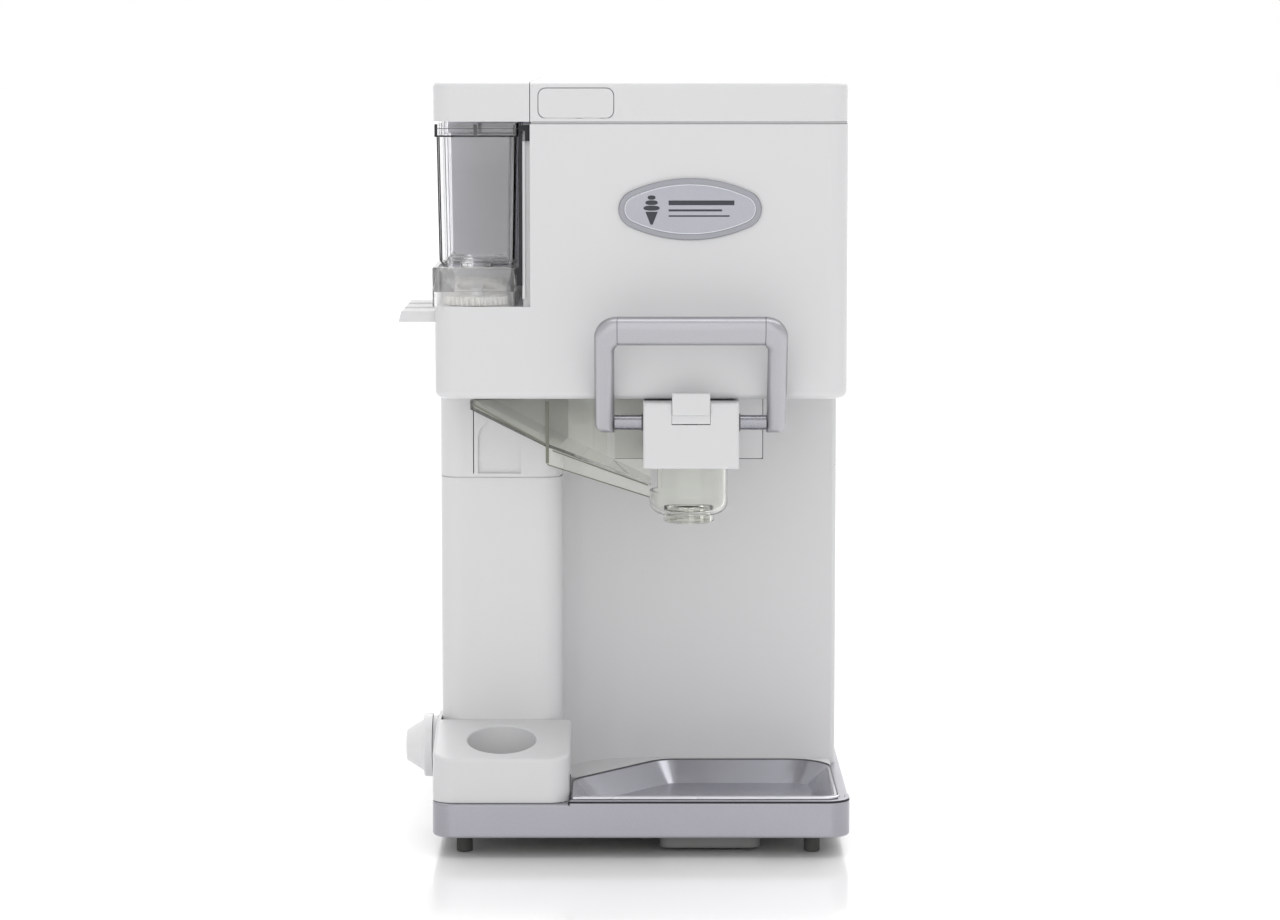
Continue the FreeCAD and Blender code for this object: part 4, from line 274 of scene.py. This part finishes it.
def near_ends(material, node, width):
    """One within a width of either end of a piece along X, zero between."""
    low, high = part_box(node)
    tree = material.node_tree
    place = tree.nodes.new("ShaderNodeTexCoord")
    axes = tree.nodes.new("ShaderNodeSeparateXYZ")
    offset = tree.nodes.new("ShaderNodeMath")
    offset.operation = "SUBTRACT"
    offset.inputs[1].default_value = 0.5 * (low.x + high.x)
    size = tree.nodes.new("ShaderNodeMath")
    size.operation = "ABSOLUTE"
    edge = tree.nodes.new("ShaderNodeMath")
    edge.operation = "GREATER_THAN"
    edge.inputs[1].default_value = 0.5 * (high.x - low.x) - width
    tree.links.new(place.outputs["Object"], axes.inputs["Vector"])
    tree.links.new(axes.outputs["X"], offset.inputs[0])
    tree.links.new(offset.outputs[0], size.inputs[0])
    tree.links.new(size.outputs[0], edge.inputs[0])
    return edge.outputs[0]


FINISHES = {
    "housing_white": moulded("housing_white", colour(208, 208, 209), 0.30),
    "body_white": moulded("body_white", colour(210, 210, 211), 0.26),
    "bowl_white": moulded("bowl_white", colour(214, 215, 216), 0.30),
    "white_acetal": moulded("white_acetal", colour(226, 225, 221), 0.42),
    "base_silver": flaked_paint("base_silver", colour(160, 159, 167)),
    "handle_silver": flaked_paint("handle_silver", colour(172, 172, 177), 0.34),
    "grip_silver": flaked_paint("grip_silver", colour(172, 172, 177), 0.34),
    "badge_ring": flaked_paint("badge_ring", colour(142, 143, 149), 0.30, 0.7),
    "badge_line": flaked_paint("badge_line", colour(205, 206, 212), 0.30, 0.5),
    "badge_face": flaked_paint("badge_face", colour(164, 165, 173), 0.38, 0.5),
    "clear_plastic": clear("clear_plastic", colour(254, 254, 255)),
    "frosted_plastic": clear("frosted_plastic", colour(254, 254, 254), 0.10, 0.002, 0.05, milk=0.04),
    "tray_smoke": brushed("tray_smoke", colour(182, 182, 190), 0.24),
    "bay_grey": textured("bay_grey", colour(218, 217, 230), 0.5, 0.01),
    "black_plastic": textured("black_plastic", colour(40, 40, 42), 0.55),
    "black_rubber": textured("black_rubber", colour(72, 72, 70), 0.75, 0.03),
    "steel": bare_metal("steel", colour(150, 150, 156), 0.26, (1.0, 1.0, 12.0)),
    "bronze": bare_metal("bronze", colour(176, 142, 88), 0.45),
    "liner_aluminium": bare_metal("liner_aluminium", colour(206, 207, 210), 0.34, (1.0, 1.0, 8.0)),
    "coolant": moulded("coolant", colour(150, 180, 214), 0.35),
    "print_dark": moulded("print_dark", colour(46, 49, 57), 0.35),
    # The two dark greys below are painted shade in gaps and on the clear container's ribs; the first also
    # colours the washers.
    "line_dark": moulded("line_dark", colour(84, 85, 86), 0.40),
    "strip_dark": textured("strip_dark", colour(27, 28, 32), 0.7, 0.02),
    # A lighter copy of the white, painted on the dial to lift the shade that falls on it.
    "lit_dial_white": moulded("lit_dial_white", colour(222, 222, 223), 0.26),
    # The grey of the shade in the gap under the lid, painted on a strip.
    "gap_shade_grey": moulded("gap_shade_grey", colour(186, 187, 188), 0.5),
    # A painted highlight for the front edge of the tray's rim.
    "lip_highlight": flaked_paint("lip_highlight", colour(226, 227, 232), 0.26, 0.3),
    # Dark green painted on the chute as the shade and tint of its clear plastic seen edge-on.
    "edge_shade_green": moulded("edge_shade_green", colour(112, 114, 102), 0.35),
    "tip_clear": clear("tip_clear", colour(236, 237, 233), 0.03, 0.003, bend=1.14),
    "chute_clear": clear("chute_clear", colour(253, 254, 250), 0.015, 0.003, bend=1.36),
    "chute_milky": clear("chute_milky", colour(251, 252, 247), 0.015, 0.003, bend=1.36, milk=0.09),
    # The bottom cover, painted mid grey as the shade it lies in under the base.
    "shaded_pod_grey": textured("shaded_pod_grey", colour(128, 129, 127), 0.5, 0.02),
}

# The handle's paint is darkened on its sides as painted shade, and its grip shows a seam at either end.
for painted in (FINISHES["handle_silver"], FINISHES["grip_silver"]):
    darken(painted, side_shade_mask(painted), 0.40)
darken(FINISHES["grip_silver"], near_ends(FINISHES["grip_silver"], "handle_grip", 0.35 * MM), 0.6)

# Nodes whose finish differs from their slot's usual one.
OWN_FINISH = {
    "mixin_chute": "chute_milky",
    "nozzle_cup": "chute_clear",
    "star_tip": "tip_clear",
    "handle_grip": "grip_silver",
    "dial": "lit_dial_white",
    "bottom_cover": "shaded_pod_grey",
}

for name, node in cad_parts.items():
    for place in node.material_slots:
        place.material = FINISHES[OWN_FINISH.get(name, place.material.name.split(".")[0])]


# ---------------------------------------------------------------- shapes of the added pieces

def shell_from_rings(name, rings, finish, closed=False):
    """A solid skin through a stack of rings of points, given as rings x points x 3. A face joins each point
    to the next one round its ring and to those above. Flat caps close both ends, unless the stack runs
    round into itself."""
    rings = np.asarray(rings, dtype=float)
    count, around, _ = rings.shape
    steps = count if closed else count - 1
    first = np.arange(steps)[:, None] * around + np.arange(around)[None, :]
    beside = np.arange(steps)[:, None] * around + (np.arange(around)[None, :] + 1) % around
    above = (beside + around) % (count * around)
    over = (first + around) % (count * around)
    faces = np.stack([first, beside, above, over], axis=-1).reshape(-1, 4).tolist()
    if not closed:
        faces.append(list(range(around))[::-1])
        faces.append(list(range((count - 1) * around, count * around)))
    mesh = bpy.data.meshes.new(name)
    mesh.from_pydata(rings.reshape(-1, 3).tolist(), [], faces)
    mesh.materials.append(FINISHES[finish])
    if mesh_volume(mesh) < 0.0:
        mesh.flip_normals()
    mesh.shade_smooth()
    piece = bpy.data.objects.new(name, mesh)
    bpy.context.scene.collection.objects.link(piece)
    return piece


def mesh_volume(mesh):
    """The volume inside a closed mesh, negative where its faces point inward."""
    points = mesh_points(mesh)
    mesh.calc_loop_triangles()
    corners = np.empty(len(mesh.loop_triangles) * 3, dtype=int)
    mesh.loop_triangles.foreach_get("vertices", corners)
    a, b, c = points[corners.reshape(-1, 3)].transpose(1, 0, 2)
    return float(np.einsum("ij,ij->i", a, np.cross(b, c)).sum()) / 6.0


def mesh_points(mesh):
    """The points of a mesh as rows of X, Y and Z."""
    points = np.empty(len(mesh.vertices) * 3)
    mesh.vertices.foreach_get("co", points)
    return points.reshape(-1, 3)


def enclosed_area(outline):
    """The area inside a closed outline, negative where it runs clockwise."""
    ahead = np.roll(outline, -1, axis=0)
    return 0.5 * float(np.sum(outline[:, 0] * ahead[:, 1] - ahead[:, 0] * outline[:, 1]))


def drawn_in(outline, distance):
    """A closed outline moved inward by a distance, along the normal at each of its points."""
    ahead = np.roll(outline, -1, axis=0) - outline
    back = outline - np.roll(outline, 1, axis=0)
    ahead /= np.linalg.norm(ahead, axis=1)[:, None]
    back /= np.linalg.norm(back, axis=1)[:, None]
    along = ahead + back
    along /= np.linalg.norm(along, axis=1)[:, None]
    inward = np.stack([-along[:, 1], along[:, 0]], axis=1) * np.sign(enclosed_area(outline))
    return outline + inward * distance


def hull_outline(points):
    """The outline round a set of flat points, as a closed run of the outermost ones."""
    return points[mathutils.geometry.convex_hull_2d([tuple(point) for point in points])]


def upright_ring(outline, y, inset):
    """An outline in X and Z, drawn in by an inset and stood up at a place along Y."""
    shape = drawn_in(outline, inset) if inset else outline
    return np.stack([shape[:, 0], np.full(len(shape), y), shape[:, 1]], axis=1)


def plate(name, outline, front, back, bevel, finish):
    """A thin plate that faces the front: its outline in X and Z carried from front to back, with both its
    edges broken, and the front one rounded."""
    outline = np.asarray(outline, dtype=float)
    levels = ((front, bevel), (front + bevel * 0.3, bevel * 0.3), (front + bevel, 0.0),
              (back - bevel, 0.0), (back, bevel))
    piece = shell_from_rings(name, [upright_ring(outline, y, inset) for y, inset in levels], finish)
    sharpen(piece)
    return piece


def sharpen(piece):
    """Keeps the edges crisp where two faces meet at more than 35 degrees."""
    piece.data.set_sharp_from_angle(angle=math.radians(35.0))


def rounded_outline(x0, x1, z0, z1, radius, steps=6):
    """A rectangle in X and Z with round corners, as a closed run of points."""
    turn = np.linspace(0.0, 0.5 * math.pi, steps)
    points = []
    for cx, cz, start in ((x1 - radius, z1 - radius, 0.0), (x0 + radius, z1 - radius, 0.5),
                          (x0 + radius, z0 + radius, 1.0), (x1 - radius, z0 + radius, 1.5)):
        angle = turn + start * math.pi
        points.append(np.stack([cx + radius * np.cos(angle), cz + radius * np.sin(angle)], axis=1))
    return np.concatenate(points)


def line_outline(line, half):
    """The closed outline of a thin strip along an open line of points, half a width to each side of it."""
    along = np.gradient(line, axis=0)
    along /= np.linalg.norm(along, axis=1)[:, None]
    aside = np.stack([-along[:, 1], along[:, 0]], axis=1) * half
    return np.concatenate([line + aside, (line - aside)[::-1]])


def oval_outline(cx, cz, half_x, half_z, power=2.0, count=40):
    """A rounded oval: a superellipse, whose power of two is a plain ellipse and more is squarer."""
    angle = np.linspace(0.0, 2.0 * math.pi, count, endpoint=False)
    bend = 2.0 / power
    x = cx + half_x * np.sign(np.cos(angle)) * np.abs(np.cos(angle)) ** bend
    z = cz + half_z * np.sign(np.sin(angle)) * np.abs(np.sin(angle)) ** bend
    return np.stack([x, z], axis=1)


def joined(name, pieces):
    """Several closed pieces as one mesh."""
    target = pieces[0]
    target.name = name
    with bpy.context.temp_override(active_object=target, object=target, selected_objects=pieces,
                                   selected_editable_objects=pieces):
        bpy.ops.object.join()
    target.data.name = name
    return target


# ---------------------------------------------------------------- the badge's print

# The emblem's three ovals and its three rules, in millimetres: heights are above the badge's middle.
SWIRL = ((4.3, 1.35, 0.6), (3.3, 1.25, 3.5), (2.1, 1.15, 6.2))            # half width, half height, height
RULES = ((58.5, 1.25, 3.4), (52.0, 0.55, -0.6), (56.0, 0.40, -3.6))      # right end, half thickness, height
RULES_LEFT = 23.5                                                        # from the plate's left end


def badge_print():
    """A plain soft-serve emblem beside three rules, printed on the badge's face. The swirl is a stack of
    ovals, each narrower than the one below, over a cone whose straight sides run down to a flat point."""
    low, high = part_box("badge_plate")
    front = low.y - 0.06 * MM
    back = low.y + 0.02 * MM
    middle = 0.5 * (low.z + high.z)
    centre = low.x + 14.5 * MM
    shapes = [oval_outline(centre, middle + height * MM, half_x * MM, half_z * MM, 2.4)
              for half_x, half_z, height in SWIRL]
    sides = np.linspace(0.0, 1.0, 12)
    left = np.stack([centre - (3.3 - 2.7 * sides) * MM, middle - (1.3 + 6.9 * sides) * MM], axis=1)
    right = left[::-1] * [-1.0, 1.0] + [2.0 * centre, 0.0]
    shapes.append(np.concatenate([left, right]))
    for end, half, height in RULES:
        foot = middle + (height - half) * MM
        top = middle + (height + half) * MM
        shapes.append(rounded_outline(low.x + RULES_LEFT * MM, low.x + end * MM, foot, top, 0.38 * MM))
    prints = [plate(f"print_{number}", shape, front, back, 0.01 * MM, "print_dark")
              for number, shape in enumerate(shapes)]
    emblem = joined("badge_print", prints)
    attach(emblem, "root")


def badge_line():
    """A fine bright line just inside the badge's ring: a low bead, half a millimetre wide, carried round
    the outline of the badge's face."""
    outline = hull_outline(mesh_points(bpy.data.objects["badge_plate"].data)[:, [0, 2]])
    spaced = np.linalg.norm(outline - np.roll(outline, 1, axis=0), axis=1) > 0.2 * MM
    outline = outline[spaced]
    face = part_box("badge_plate")[0].y
    front = face - 0.12 * MM
    edge = front + 0.03 * MM
    back = face + 0.02 * MM
    section = ((back, 0.05), (edge, 0.05), (front, 0.12), (front, 0.50), (edge, 0.57), (back, 0.57))
    rings = [upright_ring(outline, y, inset * MM) for y, inset in section]
    line = shell_from_rings("badge_line", rings, "badge_line", closed=True)
    sharpen(line)
    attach(line, "root")


# ---------------------------------------------------------------- the containers' bay

def container_ribs():
    """Dark lines on the front container's mouth, painted as the shade seen where its clear moulded ribs turn
    edge-on: one under its band, a thin one through it, an upright at its left end and one a little left of
    its middle."""
    low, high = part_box("container_1")
    front = low.y - 0.35 * MM
    proud = front - 0.05 * MM
    back = low.y - 0.02 * MM
    right = high.x - 0.3 * MM
    top = high.z
    tip = top - 0.2 * MM
    foot = top - 6.3 * MM
    middle = low.x + 0.5 * (high.x - low.x)
    under = rounded_outline(low.x, right, foot - 0.55 * MM, foot + 0.35 * MM, 0.2 * MM)
    thin = rounded_outline(low.x + 0.4 * MM, right, top - 2.6 * MM, top - 2.25 * MM, 0.1 * MM)
    at_left = rounded_outline(low.x, low.x + 0.7 * MM, foot, tip, 0.2 * MM)
    at_middle = rounded_outline(middle - 1.6 * MM, middle + 0.2 * MM, foot, tip, 0.2 * MM)
    ribs = joined("container_ribs", [
        plate("rib_under", under, front, back, 0.08 * MM, "strip_dark"),
        plate("rib_thin", thin, front, back, 0.05 * MM, "line_dark"),
        plate("rib_left", at_left, proud, back, 0.08 * MM, "strip_dark"),
        plate("rib_middle", at_middle, proud, back, 0.08 * MM, "line_dark")])
    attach(ribs, "box_1")


def bay_shade_strip():
    """A dark strip painted as the shade in the gap down the bay's inner wall beside the containers, and the
    pale bead beside it. The strip is a plate in the shape of a thin blade, with a hooked head at the top
    right and a stepped foot at the lower left."""
    low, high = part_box("bay_seal")
    left = low.x - 0.40 * MM
    blade = left + 1.75 * MM
    right = high.x
    hook_left = right - 2.6 * MM
    hook_foot = high.z - 8.4 * MM
    hook_roof = high.z - 3.0 * MM
    base = low.z + 7.2 * MM
    foot_top = base + 9.5 * MM
    reach = 1.8 * MM
    step = [(left - 0.6 * reach, base), (left - 0.6 * reach, foot_top - 4.0 * MM),
            (left - reach, foot_top - 3.0 * MM), (left - reach, foot_top - 0.8 * MM),
            (left - 0.3 * reach, foot_top), (left, foot_top + 0.5 * MM)]
    head = [(left, high.z), (right, high.z), (right, hook_foot), (hook_left, hook_foot),
            (hook_left, hook_roof), (blade, hook_roof)]
    outline = step + head + [(blade, base)]
    strip = plate("bay_shade_strip", outline, low.y, high.y, 0.12 * MM, "strip_dark")
    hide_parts("bay_seal")
    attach(strip, "root")
    beside = rounded_outline(blade + 0.1 * MM, blade + 1.7 * MM, low.z, hook_foot, 0.4 * MM)
    bead = plate("bay_bead", beside, low.y + 1.0 * MM, high.y, 0.3 * MM, "body_white")
    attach(bead, "root")


# ---------------------------------------------------------------- gaps and beads round the case, painted as shade and highlight

def swept_band(name, path, outward, low_z, high_z, proud, sunk, finish):
    """A thin upright band along a path in X and Y. At each point its section has four corners: two sunk
    inside the surface, at the band's full height, and two proud of it, drawn in by a fifth at the top and
    the foot. Each is the path's point moved along the outward direction given there."""
    near = path - outward * sunk
    far = path + outward * proud
    soft = 0.2 * (high_z - low_z)
    section = ((near, low_z), (far, low_z + soft), (far, high_z - soft), (near, high_z))
    rings = np.stack([np.column_stack([spots, np.full(len(spots), z)]) for spots, z in section], axis=1)
    piece = shell_from_rings(name, rings, finish)
    sharpen(piece)
    return piece


def corner_path(centre, radius, start, end, steps=14):
    """Points on an arc seen from above, with the direction that points away from its centre at each."""
    angle = np.radians(np.linspace(start, end, steps))
    away = np.stack([np.cos(angle), np.sin(angle)], axis=1)
    return np.asarray(centre) + radius * away, away


def front_and_corner(start, x_end, y_front, radius, end):
    """A path along a straight front and round its right corner, up to an angle, with the directions that
    point outward from it. The corner's circle touches the front and the right side."""
    arc, away = corner_path((x_end - radius, y_front + radius), radius, -90.0, end)
    front = np.array([[start, y_front], [start + 20.0 * MM, y_front]])
    forward = np.array([[0.0, -1.0], [0.0, -1.0]])
    return np.concatenate([front, arc]), np.concatenate([forward, away])


def base_gaps():
    """Painted shade in the gaps: a dark band in the gap under the raised edge in front of the tray, with a
    short upright at its left end, and a dark strip in the gap beside the cone holder's foot. The long one is
    a band that follows the base's round corner."""
    low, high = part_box("base_shell")
    holder_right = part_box("cone_holder")[1].x
    start = holder_right - 0.8 * MM
    top = high.z - 0.45 * MM
    path, outward = front_and_corner(start, high.x, low.y, BASE_CORNER, -12.0)
    gap = swept_band("tray_gap", path, outward, top - 1.25 * MM, top, 0.10 * MM, 0.05 * MM, "strip_dark")
    upright = rounded_outline(start, holder_right, top - 2.2 * MM, top, 0.2 * MM)
    at_left = plate("tray_gap_side", upright, low.y - 0.12 * MM, low.y + 0.05 * MM, 0.04 * MM, "strip_dark")
    beside = rounded_outline(holder_right + 0.05 * MM, holder_right + 0.65 * MM, top, top + 12.5 * MM,
                             0.2 * MM)
    behind = low.y + HOLDER_CORNER
    at_holder = plate("holder_gap_side", beside, behind, behind + 1.0 * MM, 0.1 * MM, "line_dark")
    gaps = joined("base_gaps", [gap, at_left, at_holder])
    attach(gaps, "root")


def holder_gap():
    """The painted shade in the fine gap under the cone holder: a dark band round its left corner, along its
    front and round its right corner."""
    low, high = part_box("cone_holder")
    radius = HOLDER_CORNER
    left, away_left = corner_path((low.x + radius, low.y + radius), radius, 192.0, 270.0)
    right, away_right = corner_path((high.x - radius, low.y + radius), radius, 270.0, 330.0)
    under = swept_band("holder_gap", np.concatenate([left, right]), np.concatenate([away_left, away_right]),
                       low.z + 0.02 * MM, low.z + 0.55 * MM, 0.08 * MM, 0.05 * MM, "line_dark")
    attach(under, "root")


def tray_highlight_bead():
    """A bright bead along the front of the tray's rim, just above the raised edge of the base, painted as
    the highlight on the rim's glossy edge: a band along the front and round the right corner."""
    low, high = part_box("drip_tray")
    path, outward = front_and_corner(low.x + 1.2 * MM, high.x, low.y, TRAY_CORNER, -8.0)
    bead = swept_band("tray_highlight_bead", path, outward, high.z - 1.55 * MM, high.z - 0.1 * MM,
                      0.7 * MM, 0.05 * MM, "lip_highlight")
    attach(bead, "tray")


def tray_edge_shade():
    """A dark band painted as the shade in the gap along the outer edge of the tray's rim, from one side
    round
    the back to the other: a band that follows the outline of the rim seen from above, less its front."""
    low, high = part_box("drip_tray")
    points = mesh_points(bpy.data.objects["drip_tray"].data)
    outline = hull_outline(points[points[:, 2] > high.z - 0.2 * MM][:, :2])
    if enclosed_area(outline) < 0.0:
        outline = outline[::-1]
    behind = outline[:, 1] > low.y + 6.0 * MM
    start = int(np.flatnonzero(behind & ~np.roll(behind, 1))[0])
    path = np.roll(outline, -start, axis=0)[:int(behind.sum())]
    along = np.gradient(path, axis=0)
    along /= np.linalg.norm(along, axis=1)[:, None]
    away = np.stack([along[:, 1], -along[:, 0]], axis=1)
    bead = swept_band("tray_edge_shade", path - away * 0.7 * MM, away, high.z - 0.1 * MM, high.z + 0.6 * MM,
                      0.6 * MM, 0.0, "line_dark")
    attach(bead, "tray")


def lid_gap_shade():
    """The pale grey strip that fills the gap under the lid, painted as the gap's shade, a little behind the
    head's outer face: a band along the front, round the right corner and back along the side."""
    low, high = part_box("head_housing")
    lid_low, lid_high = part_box("main_lid")
    path, outward = front_and_corner(lid_low.x + 0.4 * MM, high.x - GAP_SHADE_DEPTH, low.y + GAP_SHADE_DEPTH,
                                     HEAD_CORNER - GAP_SHADE_DEPTH, 0.0)
    path = np.concatenate([path, [[high.x - GAP_SHADE_DEPTH, high.y - 20.0 * MM]]])
    outward = np.concatenate([outward, [[1.0, 0.0]]])
    top = lid_high.z - LID_HEIGHT - 0.04 * MM
    foot = top - LID_GAP + 0.08 * MM
    strip = swept_band("lid_gap_shade", path, outward, foot, top, 0.0, 1.1 * MM, "gap_shade_grey")
    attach(strip, "root")


# ---------------------------------------------------------------- the chute

# The chute's front wall seen from above, from its left end by its bend to the nozzle, in millimetres.
WALL_ACROSS = (0.0, 41.0, 96.9)
WALL_BACK = (0.0, 6.0, 25.0)

# The dark lines painted on it as the shade where the clear chute's edges and floor are seen edge-on: half
# their width, and their points, in millimetres across from the chute's left end and down from its top.
CHUTE_RIBS = {
    "foot": (0.30, ((41.2, 35.4), (96.7, 55.3))),
    "channel": (0.36, ((44.0, 27.9), (76.5, 41.0), (95.6, 48.6))),
    "mouth": (0.45, ((1.6, 2.3), (40.9, 24.8))),
}


def on_chute_wall(piece, corner):
    """Sets a piece that was made flat at Y = 0 on the chute's front wall: each point goes back as far as
    the wall does where the point is. The wall is straight from its left end to its bend, and from there to
    the nozzle."""
    points = mesh_points(piece.data)
    across = (points[:, 0] - corner.x) / MM
    points[:, 1] += corner.y + np.interp(across, WALL_ACROSS, WALL_BACK) * MM
    piece.data.vertices.foreach_set("co", points.ravel())
    piece.data.update()
    return piece


def chute_joint():
    """The upright joint between the two lengths of the chute: a round-ended bar on its front wall, painted
    dark green as the shade and tint of the clear joint seen edge-on.
    """
    low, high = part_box("mixin_chute")
    middle = low.x + 41.2 * MM
    top = high.z - 1.2 * MM
    outline = rounded_outline(middle - 0.85 * MM, middle + 0.85 * MM, top - 33.6 * MM, top, 0.5 * MM)
    joint = on_chute_wall(plate("chute_joint", outline, -0.8 * MM, -0.05 * MM, 0.2 * MM, "edge_shade_green"), low)
    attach(joint, "root")


def chute_edges():
    """Dark green lines along the chute's front wall, painted as the shade where its clear edges are seen
    edge-on: one at its foot, one along its channel and one down its mouth. Each is a thin strip along an
    open line."""
    low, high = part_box("mixin_chute")
    ribs = []
    for name, (half, places) in CHUTE_RIBS.items():
        line = np.array([low.x, high.z]) + np.array(places) * [MM, -MM]
        outline = line_outline(line, half * MM)
        rib = plate(f"chute_{name}", outline, -0.4 * MM, -0.05 * MM, 0.06 * MM, "edge_shade_green")
        ribs.append(on_chute_wall(rib, low))
    edges = joined("chute_edges", ribs)
    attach(edges, "root")


# ---------------------------------------------------------------- small rings and seams

def ring_round_x(name, x0, x1, y, z, inner, outer, finish):
    """A ring about a line along X: a square section from x0 to x1 and from its inner to its outer radius,
    with its corners broken, turned once round the line."""
    angle = np.linspace(0.0, 2.0 * math.pi, 48, endpoint=False)
    across = np.cos(angle)
    up = np.sin(angle)
    soft = 0.15 * (outer - inner)
    section = ((x0 + soft, inner), (x0, inner + soft), (x0, outer - soft), (x0 + soft, outer),
               (x1 - soft, outer), (x1, outer - soft), (x1, inner + soft), (x1 - soft, inner))
    rings = [np.stack([np.full(len(angle), x), y + radius * across, z + radius * up], axis=1)
             for x, radius in section]
    return shell_from_rings(name, rings, finish, closed=True)


def pivot_washers():
    """The thin dark washers where the handle's cross shaft leaves the block, one at either side."""
    block_low, block_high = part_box("dispenser_block")
    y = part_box("head_housing")[0].y
    inner = SHAFT_R + 0.05 * MM
    outer = SHAFT_R + 0.75 * MM
    ends = {"washer_left": (block_low.x - 0.9 * MM, block_low.x - 0.05 * MM),
            "washer_right": (block_high.x + 0.05 * MM, block_high.x + 0.9 * MM)}
    rings = [ring_round_x(name, x0, x1, y, SHAFT_HEIGHT, inner, outer, "line_dark")
             for name, (x0, x1) in ends.items()]
    washers = joined("pivot_washers", rings)
    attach(washers, "root")


def bracket_gap_shade():
    """The painted shade in the fine gap along the right side and the foot of the plate behind the block, as
    a thin dark plate in the shape of a mirrored L."""
    low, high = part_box("nozzle_bracket")
    right = high.x + 0.45 * MM
    foot = low.z - 0.45 * MM
    outline = [(low.x, foot), (right, foot), (right, high.z), (high.x, high.z), (high.x, low.z),
               (low.x, low.z)]
    seam = plate("bracket_gap_shade", outline, low.y + 0.3 * MM, low.y + 2.6 * MM, 0.05 * MM, "line_dark")
    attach(seam, "root")


badge_print()
badge_line()
base_gaps()
holder_gap()
tray_highlight_bead()
tray_edge_shade()
lid_gap_shade()
chute_joint()
chute_edges()
container_ribs()
bay_shade_strip()
pivot_washers()
bracket_gap_shade()


# ---------------------------------------------------------------- the floor, the light and the camera

def lay_floor():
    """A wide, pale, half-glossy floor under the object, flat at the height of the worktop."""
    half = 0.5 * FLOOR_SIZE
    corners = [(-half, -half, 0.0), (half, -half, 0.0), (half, half, 0.0), (-half, half, 0.0)]
    mesh = bpy.data.meshes.new("floor")
    mesh.from_pydata(corners, [], [(0, 1, 2, 3)])
    floor = bpy.data.objects.new("floor", mesh)
    bpy.context.scene.collection.objects.link(floor)
    material, _, shader = start_material("floor_white")
    shader.inputs["Base Color"].default_value = colour(250, 250, 250)
    shader.inputs["Roughness"].default_value = 0.12
    shader.inputs["IOR"].default_value = 1.62
    shader.inputs["Specular IOR Level"].default_value = 0.8
    mesh.materials.append(material)


def light_studio():
    """A pale room all round, a broad light from above and behind, and a broad light from the front."""
    world = bpy.data.worlds.new("studio")
    world.use_nodes = True
    tree = world.node_tree
    room = tree.nodes["Background"]
    room.inputs["Color"].default_value = (1.0, 1.0, 1.0, 1.0)
    room.inputs["Strength"].default_value = ROOM_LIGHT
    wall = tree.nodes.new("ShaderNodeBackground")
    wall.inputs["Color"].default_value = (1.0, 1.0, 1.0, 1.0)
    path = tree.nodes.new("ShaderNodeLightPath")
    choice = tree.nodes.new("ShaderNodeMixShader")
    tree.links.new(path.outputs["Is Camera Ray"], choice.inputs[0])
    tree.links.new(room.outputs[0], choice.inputs[1])
    tree.links.new(wall.outputs[0], choice.inputs[2])
    tree.links.new(choice.outputs[0], tree.nodes["World Output"].inputs["Surface"])
    bpy.context.scene.world = world
    light_horizon(tree, room)
    broad_light("top_light", TOP_LIGHT, 80.0, 24.0, 8.0)
    broad_light("front_light", FRONT_LIGHT, 70.0, -76.0, -14.0)


def light_horizon(tree, room):
    """Makes the room's back lighter than its sides, by how far a direction points to the back."""
    direction = tree.nodes.new("ShaderNodeTexCoord")
    axes = tree.nodes.new("ShaderNodeSeparateXYZ")
    fade = tree.nodes.new("ShaderNodeMapRange")
    fade.inputs["From Min"].default_value = 0.55
    fade.inputs["From Max"].default_value = 0.90
    fade.inputs["To Min"].default_value = ROOM_LIGHT
    fade.inputs["To Max"].default_value = HORIZON_LIGHT
    tree.links.new(direction.outputs["Generated"], axes.inputs["Vector"])
    tree.links.new(axes.outputs["Y"], fade.inputs["Value"])
    tree.links.new(fade.outputs["Result"], room.inputs["Strength"])


def broad_light(name, strength, spread_angle, from_back, from_right):
    """A far, wide, soft light. Its angles lean it from straight above, in degrees, to the back and to the
    right."""
    light = bpy.data.lights.new(name, "SUN")
    light.energy = strength
    light.angle = math.radians(spread_angle)
    shown = bpy.data.objects.new(name, light)
    shown.rotation_euler = (-math.radians(from_back), math.radians(from_right), 0.0)
    shown.location = (0.0, 0.0, 2.0)
    bpy.context.scene.collection.objects.link(shown)


def place_camera():
    """The camera, square on to the head's front face."""
    low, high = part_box("head_housing")
    camera = bpy.data.cameras.new("camera")
    camera.lens = CAMERA_LENS
    camera.sensor_width = CAMERA_SENSOR
    shown = bpy.data.objects.new("camera", camera)
    shown.location = (0.5 * (low.x + high.x) + CAMERA_SIDE, low.y - CAMERA_DISTANCE, CAMERA_HEIGHT)
    shown.rotation_euler = (math.radians(90.0) - CAMERA_TIP, 0.0, 0.0)
    bpy.context.scene.collection.objects.link(shown)
    bpy.context.scene.camera = shown
    bpy.context.scene.view_settings.view_transform = "Standard"


lay_floor()
light_studio()
place_camera()
